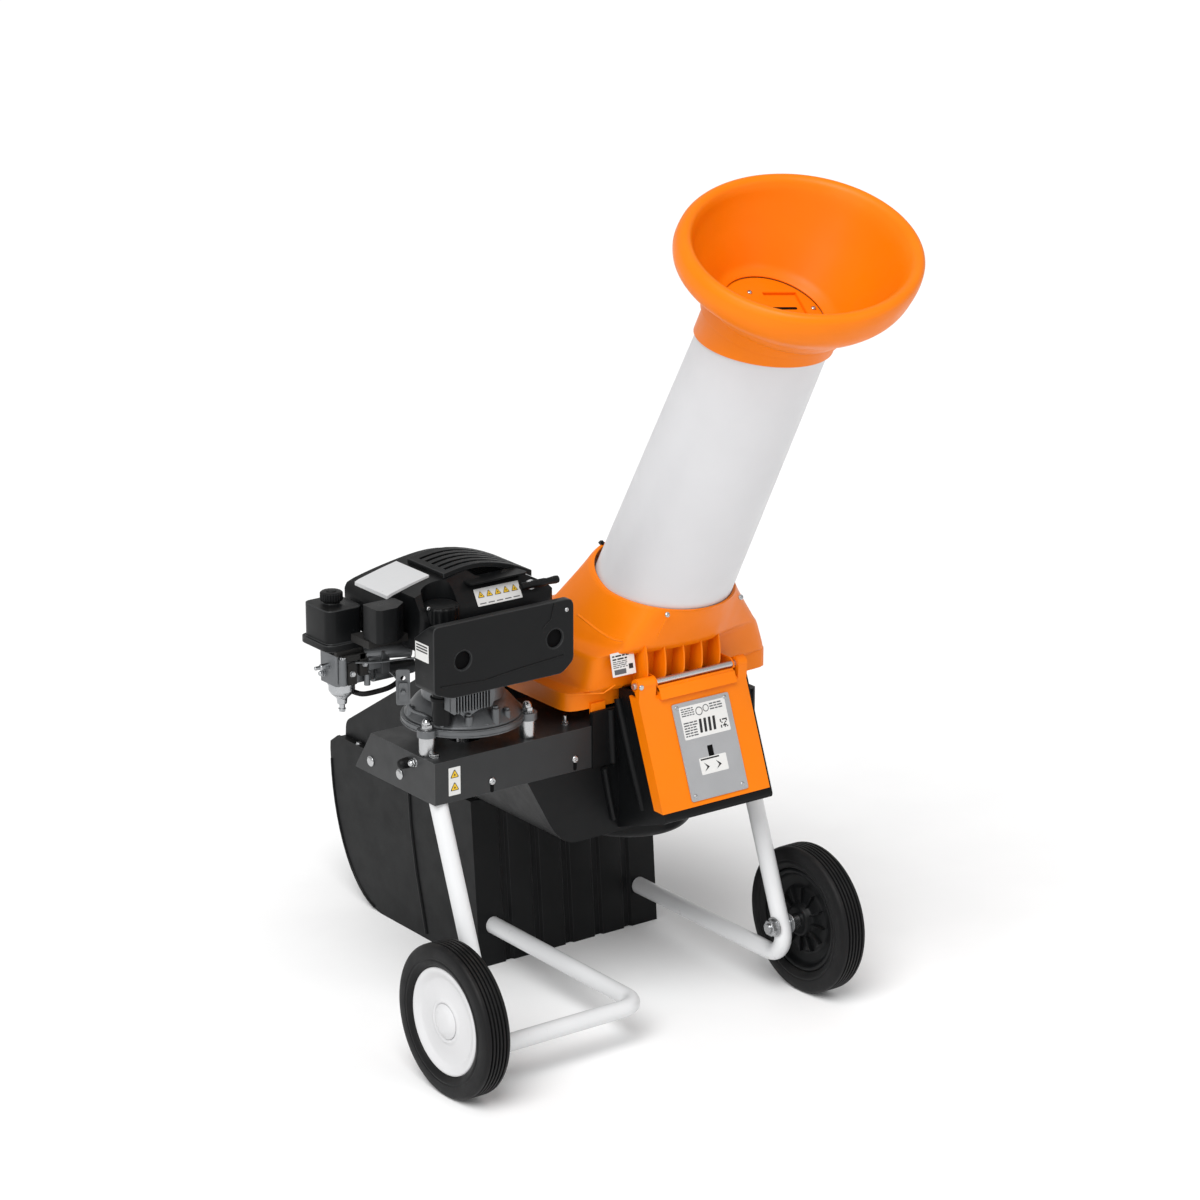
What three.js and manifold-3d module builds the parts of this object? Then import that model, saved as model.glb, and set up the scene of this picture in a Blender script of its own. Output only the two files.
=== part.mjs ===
// Petrol wood chipper on two wheels.
// Millimetres, +Z up, +X along the wheel axle to the right, +Y from the feed side to the
// discharge side. Everything is laid out from the point on the ground under the middle of the
// axle; at the end the whole machine is moved so that the origin is the middle of its footprint.
import * as THREE from 'three';
import { mergeVertices } from 'three/addons/utils/BufferGeometryUtils.js';
import Module from 'manifold-3d';

const wasm = await Module();
wasm.setup();

// ---------------------------------------------------------------- driving dimensions

const GAP = 0.3;                       // clearance between pieces that touch
const DEG = Math.PI / 180;

const wheel = { radius: 125, width: 48.6, centreX: 353.7, rimRadius: 88, boltRadius: 8 };
const frameTube = { radius: 14.5, wall: 2, legX: 298, lean: 21.04, bend: 36 };
const axleHeight = wheel.radius;
const footHeight = 69.7;               // centre line of the two horizontal feet
const footEndY = 402;                  // the feet end inside the discharge chute
const crossTubeEndX = -8;              // the left foot is brought in to this side of the chute

const sheet = 3;                       // thickness of the folded base plate
const plate = { left: -316.5, right: 317, front: 101, rear: 281, top: 508.7, depth: 69.6 };

const crank = { x: -206, y: 184, radius: 11 };
const cylinder = { x: -230, z: 597, front: 112 };
const engineFlange = {
  bolts: 3, circle: 101.6, firstBolt: -158, radius: 98, bottom: 538.7, thickness: 12,
};
const cutter = { x: 148, y: 223, radius: 92, shaft: 15 };
const belt = { bottom: 446, height: 12, crankRadius: 44.5, cutterRadius: 69.5, thickness: 7 };

const hinge = { y: 49, z: 580, radius: 5, head: 11 };
const panelLean = 21;                  // the front box leans like the legs
const frontBox = { left: 38.5, right: 256, top: 566, bottom: 368 };
const panelLine = { y: 46.5, z: 573 };  // the front face passes through here
const housing = { left: -140, right: 256, rear: 345, floor: 318, wall: 4 };
const pan = { radius: 107, bottom: 277, wall: 4 };

const feed = { lean: 29.26, y: 82.9, z: 800, radius: 107.1, taper: 0.0179, wall: 4 };
const cutLean = Math.tan(10 * DEG);    // both ends of the feed tube are cut 10 degrees off level
const rim = { y: 128, z: 720, halfX: 114, halfY: 119, backSlope: 0.33 };
const skirt = { y: 256, halfX: 205, halfY: 148, bottom: 536, top: 566, wall: 4.5 };

const chute = { left: -40, right: 333, front: 386, lean: 0.08, wall: 5, ledge: 292, inset: 12 };

// ---------------------------------------------------------------- looks

const looks = {
  orange: { color: 0xf57a08, roughness: 0.45, metalness: 0 },
  paleTube: { color: 0xdedede, roughness: 0.4, metalness: 0.1 },
  feedWhite: { color: 0xebebeb, roughness: 0.4, metalness: 0 },
  hubWhite: { color: 0xf2f2f2, roughness: 0.4, metalness: 0 },
  blackPlastic: { color: 0x232324, roughness: 0.5, metalness: 0 },
  plateGrey: { color: 0x464747, roughness: 0.45, metalness: 0.4 },
  rubber: { color: 0x1a1a1a, roughness: 0.8, metalness: 0 },
  castAlloy: { color: 0x8d8f90, roughness: 0.5, metalness: 0.8 },
  steel: { color: 0xb4b5b6, roughness: 0.3, metalness: 1 },
  silverTrim: { color: 0xe0e1e2, roughness: 0.35, metalness: 0.2 },
};

// ---------------------------------------------------------------- solids and outlines

function solidFrom(geometry) {
  const bare = geometry.clone();
  bare.deleteAttribute('normal');
  bare.deleteAttribute('uv');
  const merged = mergeVertices(bare, 1e-3);
  const place = merged.attributes.position;
  const corners = [];
  for (let i = 0; i < merged.index.count; i += 3) {
    const [a, b, c] = [0, 1, 2].map((k) => merged.index.getX(i + k));
    if (a !== b && b !== c && c !== a) corners.push([a, b, c]);
  }
  const at = (i) => new THREE.Vector3().fromBufferAttribute(place, i);
  const signed = corners.reduce((sum, [a, b, c]) => sum + at(a).dot(at(b).cross(at(c))), 0);
  const outward = signed < 0 ? corners.map(([a, b, c]) => [a, c, b]) : corners;
  return new wasm.Manifold(new wasm.Mesh({
    numProp: 3,
    vertProperties: new Float32Array(place.array),
    triVerts: new Uint32Array(outward.flat()),
  }));
}

function geometryFrom(solid) {
  const mesh = solid.getMesh();
  const geometry = new THREE.BufferGeometry();
  geometry.setAttribute('position', new THREE.BufferAttribute(mesh.vertProperties, 3));
  geometry.setIndex(new THREE.BufferAttribute(mesh.triVerts, 1));
  geometry.computeVertexNormals();
  return geometry;
}

const join = (...solids) => solids.reduce((sum, next) => sum.add(next));
const cut = (base, ...tools) => tools.reduce((rest, tool) => rest.subtract(tool), base);

// An outline through [u, v, reach] points, where reach is how far a corner's rounding starts
// before it. Corners with no reach stay sharp, and no rounding passes the middle of an edge.
function outline(points) {
  const shape = new THREE.Shape();
  const count = points.length;
  points.forEach(([u, v, reach = 0], i) => {
    const here = new THREE.Vector2(u, v);
    const before = new THREE.Vector2(...points[(i + count - 1) % count]).sub(here);
    const after = new THREE.Vector2(...points[(i + 1) % count]).sub(here);
    const radius = Math.min(reach, 0.48 * before.length(), 0.48 * after.length());
    const enter = before.setLength(radius).add(here);
    const leave = after.setLength(radius).add(here);
    if (i === 0) shape.moveTo(enter.x, enter.y);
    else shape.lineTo(enter.x, enter.y);
    if (radius > 0) shape.quadraticCurveTo(u, v, leave.x, leave.y);
  });
  shape.closePath();
  return shape;
}

const rectangle = (u0, u1, v0, v1, radius = 0) =>
  outline([[u0, v0, radius], [u1, v0, radius], [u1, v1, radius], [u0, v1, radius]]);

const extrude = (shape, depth, curveSegments = 4) =>
  new THREE.ExtrudeGeometry(shape, { depth, bevelEnabled: false, curveSegments });

// Outlines drawn in (Y, Z), (X, Z) or (X, Y) and extruded along the axis left over.
function alongX(shape, x0, x1, smooth) {
  const axes = new THREE.Matrix4().makeBasis(
    new THREE.Vector3(0, 1, 0), new THREE.Vector3(0, 0, 1), new THREE.Vector3(1, 0, 0));
  return solidFrom(extrude(shape, x1 - x0, smooth).applyMatrix4(axes).translate(x0, 0, 0));
}

function alongY(shape, y0, y1, smooth) {
  const upright = extrude(shape, y1 - y0, smooth).rotateX(Math.PI / 2);
  return solidFrom(upright.translate(0, y1, 0));
}

function alongZ(shape, z0, z1, smooth) {
  return solidFrom(extrude(shape, z1 - z0, smooth).translate(0, 0, z0));
}

const block = (x0, x1, y0, y1, z0, z1, radius) =>
  alongZ(rectangle(x0, x1, y0, y1, radius), z0, z1);

// A body of revolution about Z through [radius, height] points.
function turned(profile, x = 0, y = 0, segments = 28) {
  const points = profile.map(([r, h]) => new THREE.Vector2(r, h));
  const first = points[0];
  if (first.x > 0) points.push(first.clone());
  const lathe = new THREE.LatheGeometry(points, segments);
  return solidFrom(lathe.rotateX(Math.PI / 2).translate(x, y, 0));
}

const post = (radius, x, y, z0, z1, segments = 16) =>
  turned([[0, z0], [radius, z0], [radius, z1], [0, z1]], x, y, segments);

const ring = (inner, outer, x, y, z0, z1, segments = 24) =>
  turned([[inner, z0], [outer, z0], [outer, z1], [inner, z1]], x, y, segments);

const hexagon = (acrossCorners, x, y, z0, z1) => post(acrossCorners, x, y, z0, z1, 6);

function rodX(radius, x0, x1, y, z, segments = 16) {
  const lying = new THREE.CylinderGeometry(radius, radius, x1 - x0, segments).rotateZ(Math.PI / 2);
  return solidFrom(lying.translate((x0 + x1) / 2, y, z));
}

function rodY(radius, x, y0, y1, z, segments = 16) {
  const lying = new THREE.CylinderGeometry(radius, radius, y1 - y0, segments);
  return solidFrom(lying.translate(x, (y0 + y1) / 2, z));
}

// A centre line through corner points, with round bends and no points along its straights.
class BentPath extends THREE.Curve {
  constructor(corners, bendRadius, stepsPerBend = 4) {
    super();
    this.places = [corners[0]];
    this.headings = [corners[1].clone().sub(corners[0]).normalize()];
    for (let i = 1; i < corners.length - 1; i += 1) {
      this.addBend(corners[i - 1], corners[i], corners[i + 1], bendRadius, stepsPerBend);
    }
    this.places.push(corners.at(-1));
    this.headings.push(this.headings.at(-1).clone());
  }

  addBend(before, corner, after, bendRadius, steps) {
    const into = corner.clone().sub(before).normalize();
    const out = after.clone().sub(corner).normalize();
    const turn = into.angleTo(out);
    const reach = bendRadius * Math.tan(turn / 2);
    const start = corner.clone().addScaledVector(into, -reach);
    const inward = out.clone().addScaledVector(into, -into.dot(out)).normalize();
    for (let k = 0; k <= steps; k += 1) {
      const angle = (turn * k) / steps;
      this.places.push(start.clone()
        .addScaledVector(into, bendRadius * Math.sin(angle))
        .addScaledVector(inward, bendRadius * (1 - Math.cos(angle))));
      this.headings.push(into.clone().multiplyScalar(Math.cos(angle))
        .addScaledVector(inward, Math.sin(angle)));
    }
  }

  get steps() { return this.places.length - 1; }

  getPointAt(u) { return this.places[Math.round(u * this.steps)].clone(); }

  getTangentAt(u) { return this.headings[Math.round(u * this.steps)].clone(); }
}

function bentTube(corners, radius, wall, bendRadius) {
  const section = new THREE.Shape().absarc(0, 0, radius, 0, 2 * Math.PI);
  section.holes.push(new THREE.Path().absarc(0, 0, radius - wall, 0, 2 * Math.PI));
  const extrudePath = new BentPath(corners, bendRadius);
  return solidFrom(new THREE.ExtrudeGeometry(
    section, { steps: extrudePath.steps, curveSegments: 6, extrudePath }));
}

// A closed skin through rings of equal point counts; ends are capped by flat fans.
function loft(rings) {
  const count = rings[0].length;
  const points = rings.flat();
  const index = [];
  for (let level = 0; level < rings.length - 1; level += 1) {
    for (let k = 0; k < count; k += 1) {
      const a = level * count + k;
      const b = level * count + ((k + 1) % count);
      index.push(a, b, a + count, b, b + count, a + count);
    }
  }
  for (const [level, flip] of [[0, true], [rings.length - 1, false]]) {
    const centre = points.length;
    const sum = rings[level].reduce((total, point) => total.add(point), new THREE.Vector3());
    points.push(sum.divideScalar(count));
    for (let k = 0; k < count; k += 1) {
      const a = level * count + k;
      const b = level * count + ((k + 1) % count);
      if (flip) index.push(b, a, centre);
      else index.push(a, b, centre);
    }
  }
  const geometry = new THREE.BufferGeometry().setFromPoints(points);
  geometry.setIndex(index);
  return solidFrom(geometry);
}

// ---------------------------------------------------------------- the scene graph

const machine = new THREE.Group();

function add(name, solid, look, parent = machine) {
  const mesh = new THREE.Mesh(geometryFrom(solid), new THREE.MeshStandardMaterial(look));
  mesh.name = name;
  parent.add(mesh);
  return mesh;
}

// ---------------------------------------------------------------- undercarriage

const legSlope = Math.tan(frameTube.lean * DEG);
const legY = (z) => (z - axleHeight) * legSlope;
const legTop = plate.top - sheet - 1 - frameTube.radius * Math.sin(frameTube.lean * DEG);

function axleBore(side) {
  const outer = side * (frameTube.legX + 30);
  const inner = side * (frameTube.legX - 30);
  return rodX(wheel.boltRadius + GAP, Math.min(inner, outer), Math.max(inner, outer), 0, axleHeight);
}

function frameTubes() {
  const at = (x, y, z) => new THREE.Vector3(x, y, z);
  const { radius, wall, legX, bend } = frameTube;
  const right = [
    at(legX, legY(legTop), legTop),
    at(legX, legY(footHeight), footHeight),
    at(legX, footEndY, footHeight),
  ];
  const left = [
    at(-legX, legY(legTop), legTop),
    at(-legX, legY(footHeight), footHeight),
    at(crossTubeEndX, legY(footHeight), footHeight),
    at(crossTubeEndX, footEndY, footHeight),
  ];
  add('right_leg_tube', cut(bentTube(right, radius, wall, bend), axleBore(1)), looks.paleTube);
  add('left_leg_tube', cut(bentTube(left, radius, wall, bend), axleBore(-1)), looks.paleTube);
}

// A wheel is drawn about Z with its outer face towards +Z, then turned outwards.
function wheelPieces(side, name) {
  const group = new THREE.Group();
  group.position.set(side * wheel.centreX, 0, axleHeight);
  group.rotation.y = side * 90 * DEG;
  machine.add(group);

  const half = wheel.width / 2;
  const { radius, rimRadius, boltRadius } = wheel;
  const tread = [[rimRadius, 19], [97, half], [116, half], [radius, 18]];
  const mirrored = tread.map(([r, h]) => [r, -h]).reverse();
  add(`${name}_tyre`, turned([...tread, ...mirrored], 0, 0, 48), looks.rubber, group);

  const bore = boltRadius + GAP;
  const seat = rimRadius - GAP;
  add(`${name}_wheel_disc`, turned([
    [bore, 12], [29, 12], [29, 16.5], [seat, 18.5], [seat, -18.5],
    [seat - 4, -18.5], [seat - 4, 12], [27, 8], [22, -half], [bore, -half],
  ]), looks.hubWhite, group);
  add(`${name}_hub_cap`, turned([
    [0, half - 0.3], [20, half - 2], [28.7, 16.5], [28.7, 12.3], [26, 12.3], [24, 18.6],
    [0, 19.4],
  ], 0, 0, 24), looks.hubWhite, group);

  const tubeCentre = frameTube.legX - wheel.centreX;
  const tubeOuter = tubeCentre + frameTube.radius + GAP;
  const tubeInner = tubeCentre - frameTube.radius - GAP;
  add(`${name}_axle_spacer`, ring(bore, 13, 0, 0, tubeOuter, -half - GAP, 24), looks.steel, group);
  add(`${name}_axle_bolt`, join(
    post(boltRadius, 0, 0, tubeInner - 16, 12.4), hexagon(13, 0, 0, 12.3, 18.2)),
  looks.steel, group);
  const nut = cut(hexagon(14, 0, 0, tubeInner - 12, tubeInner), post(bore, 0, 0, -200, 0));
  add(`${name}_axle_nut`, nut, looks.steel, group);
}

// ---------------------------------------------------------------- base plate

function engineBoltPlaces() {
  return Array.from({ length: engineFlange.bolts }, (_, k) => {
    const angle = (engineFlange.firstBolt + (360 * k) / engineFlange.bolts) * DEG;
    return [
      crank.x + engineFlange.circle * Math.cos(angle),
      crank.y + engineFlange.circle * Math.sin(angle),
    ];
  });
}

function basePlate() {
  const { left, right, front, rear, top, depth } = plate;
  const under = top - sheet;
  const bottom = top - depth;
  const tongueLeft = cutter.x - 88;
  const tongueRight = cutter.x + 88;
  const topSheet = alongZ(outline([
    [left, front], [right, front], [right, housing.rear], [tongueRight, housing.rear],
    [tongueRight, 408], [tongueLeft, 408], [tongueLeft, housing.rear], [20, housing.rear],
    [20, rear], [left, rear],
  ]), under, top);
  const [tabX, tabY] = engineBoltPlaces()[2];
  const boltTab = block(tabX - 20, tabX + 20, rear - 10, tabY + 18, under, top, 8);
  const frontFlange = block(left, -15, front, front + sheet, bottom, top);
  const cheek = (rearTop, rearBottom) =>
    outline([[front, top], [rearTop, top], [rearBottom, bottom], [front, bottom]]);
  const leftFlange = alongX(cheek(rear, rear + 48), left, left + sheet);
  const rightFlange = alongX(cheek(rear, rear + 48), right - sheet, right);
  const rearFlange = alongX(outline([
    [rear, top], [rear + 48, bottom], [rear + 48 - sheet, bottom], [rear - sheet, top - sheet / 2],
  ]), left, 20);
  const boltHoles = engineBoltPlaces().map(([x, y]) => post(4.8, x, y, under - 1, top + 1, 12));
  const lockTab = join(block(285, 320, 245, 275, top - 1, top + 4),
    block(316, 320, 245, 275, top - 1, 566));
  const solid = cut(
    join(topSheet, boltTab, frontFlange, leftFlange, rightFlange, rearFlange, lockTab),
    post(30, crank.x, crank.y, under - 1, top + 1, 32),
    post(30, cutter.x, cutter.y, under - 1, top + 1, 32),
    ...boltHoles);
  add('base_plate', solid, looks.plateGrey);
}

// ---------------------------------------------------------------- engine

function engineMounting() {
  const flangeTop = engineFlange.bottom + engineFlange.thickness;
  engineBoltPlaces().forEach(([x, y], k) => {
    const number = k + 1;
    add(`engine_standoff_${number}`,
      ring(4.8, 13, x, y, plate.top + GAP, engineFlange.bottom - GAP, 24), looks.steel);
    add(`engine_bolt_${number}`, join(
      post(4.5, x, y, plate.top - sheet, flangeTop + 0.4),
      hexagon(8.5, x, y, flangeTop + GAP, flangeTop + 7)), looks.steel);
  });
}

function crankcase() {
  const flangeTop = engineFlange.bottom + engineFlange.thickness;
  const caseTop = 640;
  const shoulder = oilCap.neckFoot;
  const flange = post(engineFlange.radius, crank.x, crank.y, engineFlange.bottom, flangeTop, 32);
  const lobes = engineBoltPlaces().map(([x, y]) =>
    post(16, x, y, engineFlange.bottom, flangeTop, 16));
  const holes = engineBoltPlaces().map(([x, y]) =>
    post(4.8, x, y, engineFlange.bottom - 1, flangeTop + 1, 12));
  const body = turned([[0, flangeTop - 1], [82, flangeTop - 1], [78, shoulder - 2],
    [66, shoulder - 1], [66, caseTop], [0, caseTop]], crank.x, crank.y);
  const barrel = rodY(36, cylinder.x, cylinder.front, crank.y, cylinder.z, 20);
  const sumpBolts = [-100, -70, -15, 25, 140].map((angle) => post(
    8, crank.x + 84 * Math.cos(angle * DEG), crank.y + 84 * Math.sin(angle * DEG),
    flangeTop - 1, flangeTop + 6, 8));
  const hollow = post(56, crank.x, crank.y, flangeTop + 4, caseTop - 10, 20);
  const bore = post(crank.radius + 1, crank.x, crank.y, 530, 650, 20);
  add('crankcase', cut(join(flange, ...lobes, body, barrel, ...sumpBolts),
    ...holes, hollow, bore), looks.castAlloy);
}

function cylinderHead() {
  const half = 60;
  const back = cylinder.front - GAP;
  const root = back - 14;
  const tip = back - 32;
  const fins = 10;
  const pitch = (2 * half) / (fins - 0.5);
  const comb = [[cylinder.x + half, back], [cylinder.x - half, back]];
  for (let k = 0; k < fins; k += 1) {
    const x = cylinder.x - half + k * pitch;
    comb.push([x, tip], [x + pitch / 2, tip]);
    if (k < fins - 1) comb.push([x + pitch / 2, root], [x + pitch, root]);
  }
  const foot = block(cylinder.x - half, cylinder.x + half, tip + 4, back, 566, 581);
  add('cylinder_head', join(alongZ(outline(comb), 580, 626), foot), looks.castAlloy);
}

function exhaust() {
  const face = 45;
  const back = 98;
  const silencer = block(-318, -132, 58, 92, 655, 716, 12);
  const pipe = (radius) => post(radius, crank.x + 30, 86, 626.4, 656);
  add('exhaust_silencer', join(silencer, pipe(12)), looks.steel);

  const cover = (grow) => outline([
    [-353 + grow, 752 - grow, 10], [-90 - grow, 752 - grow, 14], [-90 - grow, 650 + grow, 8],
    [-112 - grow, 632 + grow, 8], [-320 + grow, 632 + grow, 8], [-353 + grow, 644 + grow, 8],
  ]);
  const slopingTop = (grow) => alongX(outline([
    [face - 1, 600], [face - 1, 752 - grow], [face + 12, 752 - grow], [back + 1, 722 - grow],
    [back + 1, 600],
  ]), -400, -50);
  const shell = cut(alongY(cover(0), face, back).intersect(slopingTop(0)),
    alongY(cover(3), face + 3, back + 1).intersect(slopingTop(3)));
  const outlets = [[-299, 690], [-126.5, 692]].map(([x, z]) =>
    rodY(16, x, face - 1, face + 4, z, 24));
  add('exhaust_cover', cut(shell, ...outlets, pipe(13)), looks.blackPlastic);
}

const shroud = {
  left: -362, right: -72, front: 116, rear: 292, step: 174, stepX: -326, bottom: 654,
};

const oilCap = { x: -284, y: 128, radius: 27, bottom: 724.3, neckFoot: 562 };

function shroudOutline(grow) {
  return outline([
    [shroud.left - grow, 700], [shroud.left - grow, 762 + grow, 24], [-290, 782 + grow, 60],
    [-205, 797 + grow, 60], [-135, 782 + grow, 40], [shroud.right + grow, 748 + grow, 20],
    [shroud.right + grow, shroud.bottom - 10], [-300, shroud.bottom - 10], [-326, 690],
  ]);
}

function blowerShroud() {
  const sideView = (grow) => outline([
    [shroud.front - grow, 640], [shroud.front - grow, 738 + grow, 16], [146, 790 + grow, 30],
    [190, 830 + grow], [262, 830 + grow, 30], [shroud.rear + grow, 775 + grow, 30],
    [shroud.rear + grow, 640],
  ]);
  const plan = (grow) => outline([
    [shroud.stepX - grow, shroud.front - grow, 16], [shroud.right + grow, shroud.front - grow, 20],
    [shroud.right + grow, shroud.rear + grow, 24], [shroud.left - grow, shroud.rear + grow, 20],
    [shroud.left - grow, shroud.step - grow, 8], [shroud.stepX - grow, shroud.step - grow],
  ]);
  const body = (grow, low) => cut(alongY(shroudOutline(grow), 100, 310)
    .intersect(alongX(sideView(grow), -420, -40))
    .intersect(alongZ(plan(grow), low, 860)),
  post(oilCap.radius + 3 - grow, oilCap.x, oilCap.y, 600, 860, 24));
  const intake = post(66, -180, 205, 740, 860, 28);
  add('blower_shroud', cut(body(0, shroud.bottom), body(-3.5, shroud.bottom - 5), intake),
    looks.blackPlastic);

  const overlay = (x0, x1, y0, y1, thickness) => cut(
    alongY(shroudOutline(thickness + GAP), y0, y1), alongY(shroudOutline(GAP), y0 - 1, y1 + 1))
    .intersect(block(x0, x1, y0 - 1, y1 + 1, 735, 860));
  const slots = [163, 180, 197, 214, 231].map((y) => block(-250, -108, y, y + 8, 735, 860));
  add('intake_grille', cut(overlay(-261, -94, 152, 254, 8), ...slots), looks.blackPlastic);
  add('trim_panel', overlay(-350, -272, 176, 268, 4), looks.silverTrim);
}

function fuelSystem() {
  const tank = { x0: -433, x1: -369, y0: 215, y1: 290 };
  const neck = [(tank.x0 + tank.x1) / 2, 256];
  add('fuel_tank', join(
    block(tank.x0, tank.x1, tank.y0, tank.y1, 688, 748, 14),
    block(tank.x0 - 5, tank.x1 + 5, tank.y0 - 5, tank.y1 + 5, 683, 694, 16),
    post(13, ...neck, 747, 752)), looks.blackPlastic);
  add('fuel_cap', turned([[0, 752.3], [17, 752.3], [18, 765], [15, 768], [0, 768]],
    ...neck, 20), looks.blackPlastic);
  add('air_cleaner', block(-400, -342, 124, 170, 713, 764, 12), looks.blackPlastic);
  const bowl = turned([[0, 588], [5, 588], [7, 596], [18, 606], [20, 628], [0, 628]], -398, 236, 24);
  add('carburettor', join(block(-424, -352, 210, 258, 626, 682, 5), bowl,
    rodX(13, -353, -278, 220, 632)), looks.castAlloy);
}

function oilFiller() {
  const { x, y, radius, bottom, neckFoot } = oilCap;
  const top = bottom - GAP;
  const foot = neckFoot + GAP;
  add('oil_filler_neck', turned([[9, foot], [15, foot], [15, top - 10], [19, top - 6], [19, top],
    [9, top]], x, y, 20), looks.blackPlastic);
  add('oil_cap', turned([[0, bottom], [radius - 1, bottom + 3], [radius, bottom + 6],
    [radius, bottom + 20], [radius - 4, bottom + 24], [0, bottom + 25]], x, y, 24),
  looks.blackPlastic);
}

function startHandle() {
  add('start_handle', block(-152, -80, 94, 107, 760, 773, 5), looks.blackPlastic);
}

function rotatingCrank() {
  const beltTop = belt.bottom + belt.height;
  add('crankshaft', post(crank.radius, crank.x, crank.y, 438, 716, 24), looks.steel);
  add('flywheel', turned([
    [crank.radius + GAP, 684], [60, 684], [60, 700], [52, 704], [52, 724], [46, 724], [46, 702],
    [crank.radius + GAP, 702],
  ], crank.x, crank.y, 28), looks.castAlloy);
  add('crank_pulley', pulley(crank, belt.crankRadius, crank.radius, beltTop), looks.steel);
}

function pulley(place, beltRadius, shaftRadius, beltTop) {
  const grooveFloor = beltRadius - 2;
  const lip = beltRadius + belt.thickness + 1;
  const low = belt.bottom - 1;
  const high = beltTop + 1;
  return turned([
    [shaftRadius + GAP, low - 4], [lip, low - 4], [lip, low], [grooveFloor, low],
    [grooveFloor, high], [lip, high], [lip, high + 4], [shaftRadius + GAP, high + 4],
  ], place.x, place.y, 28);
}

// ---------------------------------------------------------------- belt drive and cutter

function beltOutline(grow) {
  const from = new THREE.Vector2(crank.x, crank.y);
  const reach = new THREE.Vector2(cutter.x, cutter.y).sub(from);
  const small = belt.crankRadius + grow;
  const large = belt.cutterRadius + grow;
  const heading = reach.angle();
  const wrap = Math.acos((small - large) / reach.length());
  const shape = new THREE.Shape();
  shape.absarc(crank.x, crank.y, small, heading + wrap, heading - wrap + 2 * Math.PI);
  shape.absarc(cutter.x, cutter.y, large, heading - wrap, heading + wrap);
  shape.closePath();
  return shape;
}

function driveBelt() {
  const top = belt.bottom + belt.height;
  const outer = alongZ(beltOutline(belt.thickness), belt.bottom, top, 12);
  const inner = alongZ(beltOutline(0), belt.bottom - 1, top + 1, 12);
  add('drive_belt', cut(outer, inner), looks.rubber);
}

function cutterUnit() {
  const { x, y, radius, shaft } = cutter;
  const bore = shaft + GAP;
  const discBottom = 520;
  const discTop = 530;
  const seat = plate.top - sheet - GAP;
  const outlet = block(x - 68, x + 68, y + 40, y + 120, plate.top, 560);
  add('chamber_wall', cut(ring(96, 100, x, y, plate.top + GAP, 540, 32), outlet), looks.plateGrey);
  add('bearing_housing', turned([
    [bore, 470], [38, 470], [38, 494], [60, 497], [60, seat], [bore, seat],
  ], x, y, 32), looks.castAlloy);
  add('cutter_shaft', post(shaft, x, y, pan.bottom + pan.wall + 2, 545, 24), looks.steel);
  add('cutter_pulley', pulley(cutter, belt.cutterRadius, shaft, belt.bottom + belt.height),
    looks.steel);
  add('knife_disc', ring(bore, radius, x, y, discBottom, discTop), looks.steel);
  add('knife_nut', cut(hexagon(24, x, y, discTop + GAP, 543), post(bore, x, y, 520, 560)),
    looks.steel);
  for (const [side, name] of [[1, 'knife_1'], [-1, 'knife_2']]) {
    const blade = outline([[x + side * 28, y - 14], [x + side * 88, y - 14],
      [x + side * 84, y + 16], [x + side * 28, y + 16]]);
    add(name, alongZ(blade, discTop + GAP, discTop + 6), looks.steel);
  }
}

// ---------------------------------------------------------------- lower housing and front

const panelSlope = Math.tan(panelLean * DEG);
const panelFaceY = (z) => panelLine.y + (z - panelLine.z) * panelSlope;
const panelThickness = 5;
const boxFaceY = (z) => panelFaceY(z) + (panelThickness + GAP) / Math.cos(panelLean * DEG);

function lowerHousing() {
  const { left, right, rear, floor, wall } = housing;
  const lip = plate.top - plate.depth - GAP;
  const tub = (t) => outline([
    [left + t, lip + t], [right - t, lip + t], [right - t, floor + t, 20 - t],
    [-62 + t, floor + t, 30], [left + 50 + t, 345 + t, 20],
  ]);
  const box = (t) => outline([
    [boxFaceY(frontBox.top) + t, frontBox.top + t],
    [boxFaceY(frontBox.bottom) + t, frontBox.bottom + t, 8], [plate.front + 20, floor + t],
    [plate.front + 20, lip - 20], [plate.front - GAP - t, lip - 8],
    [plate.front - GAP - t, frontBox.top + t],
  ]);
  const outer = join(alongY(tub(0), plate.front, rear),
    alongX(box(0), frontBox.left, frontBox.right));
  const inner = join(alongY(tub(wall), plate.front + wall, rear - wall),
    alongX(box(wall), frontBox.left + wall, frontBox.right - wall));
  add('lower_housing', cut(outer, inner, post(98, cutter.x, cutter.y, floor - 1, floor + wall + 1)),
    looks.blackPlastic);

  const inside = pan.bottom + pan.wall;
  const bearing = cutter.shaft + GAP;
  add('bottom_pan', turned([
    [0, pan.bottom], [pan.radius - 8, pan.bottom], [pan.radius, pan.bottom + 8],
    [pan.radius, floor - 5], [pan.radius + 9, floor - 5], [pan.radius + 9, floor - GAP],
    [pan.radius - pan.wall, floor - GAP], [pan.radius - pan.wall, inside], [bearing + 9, inside],
    [bearing + 9, inside + 22], [bearing, inside + 22], [bearing, inside], [0, inside],
  ], cutter.x, cutter.y), looks.blackPlastic);
}

const rodEnds = { left: 28, right: 253 };
const ears = [[33, 66], [232, 250]];

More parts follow.
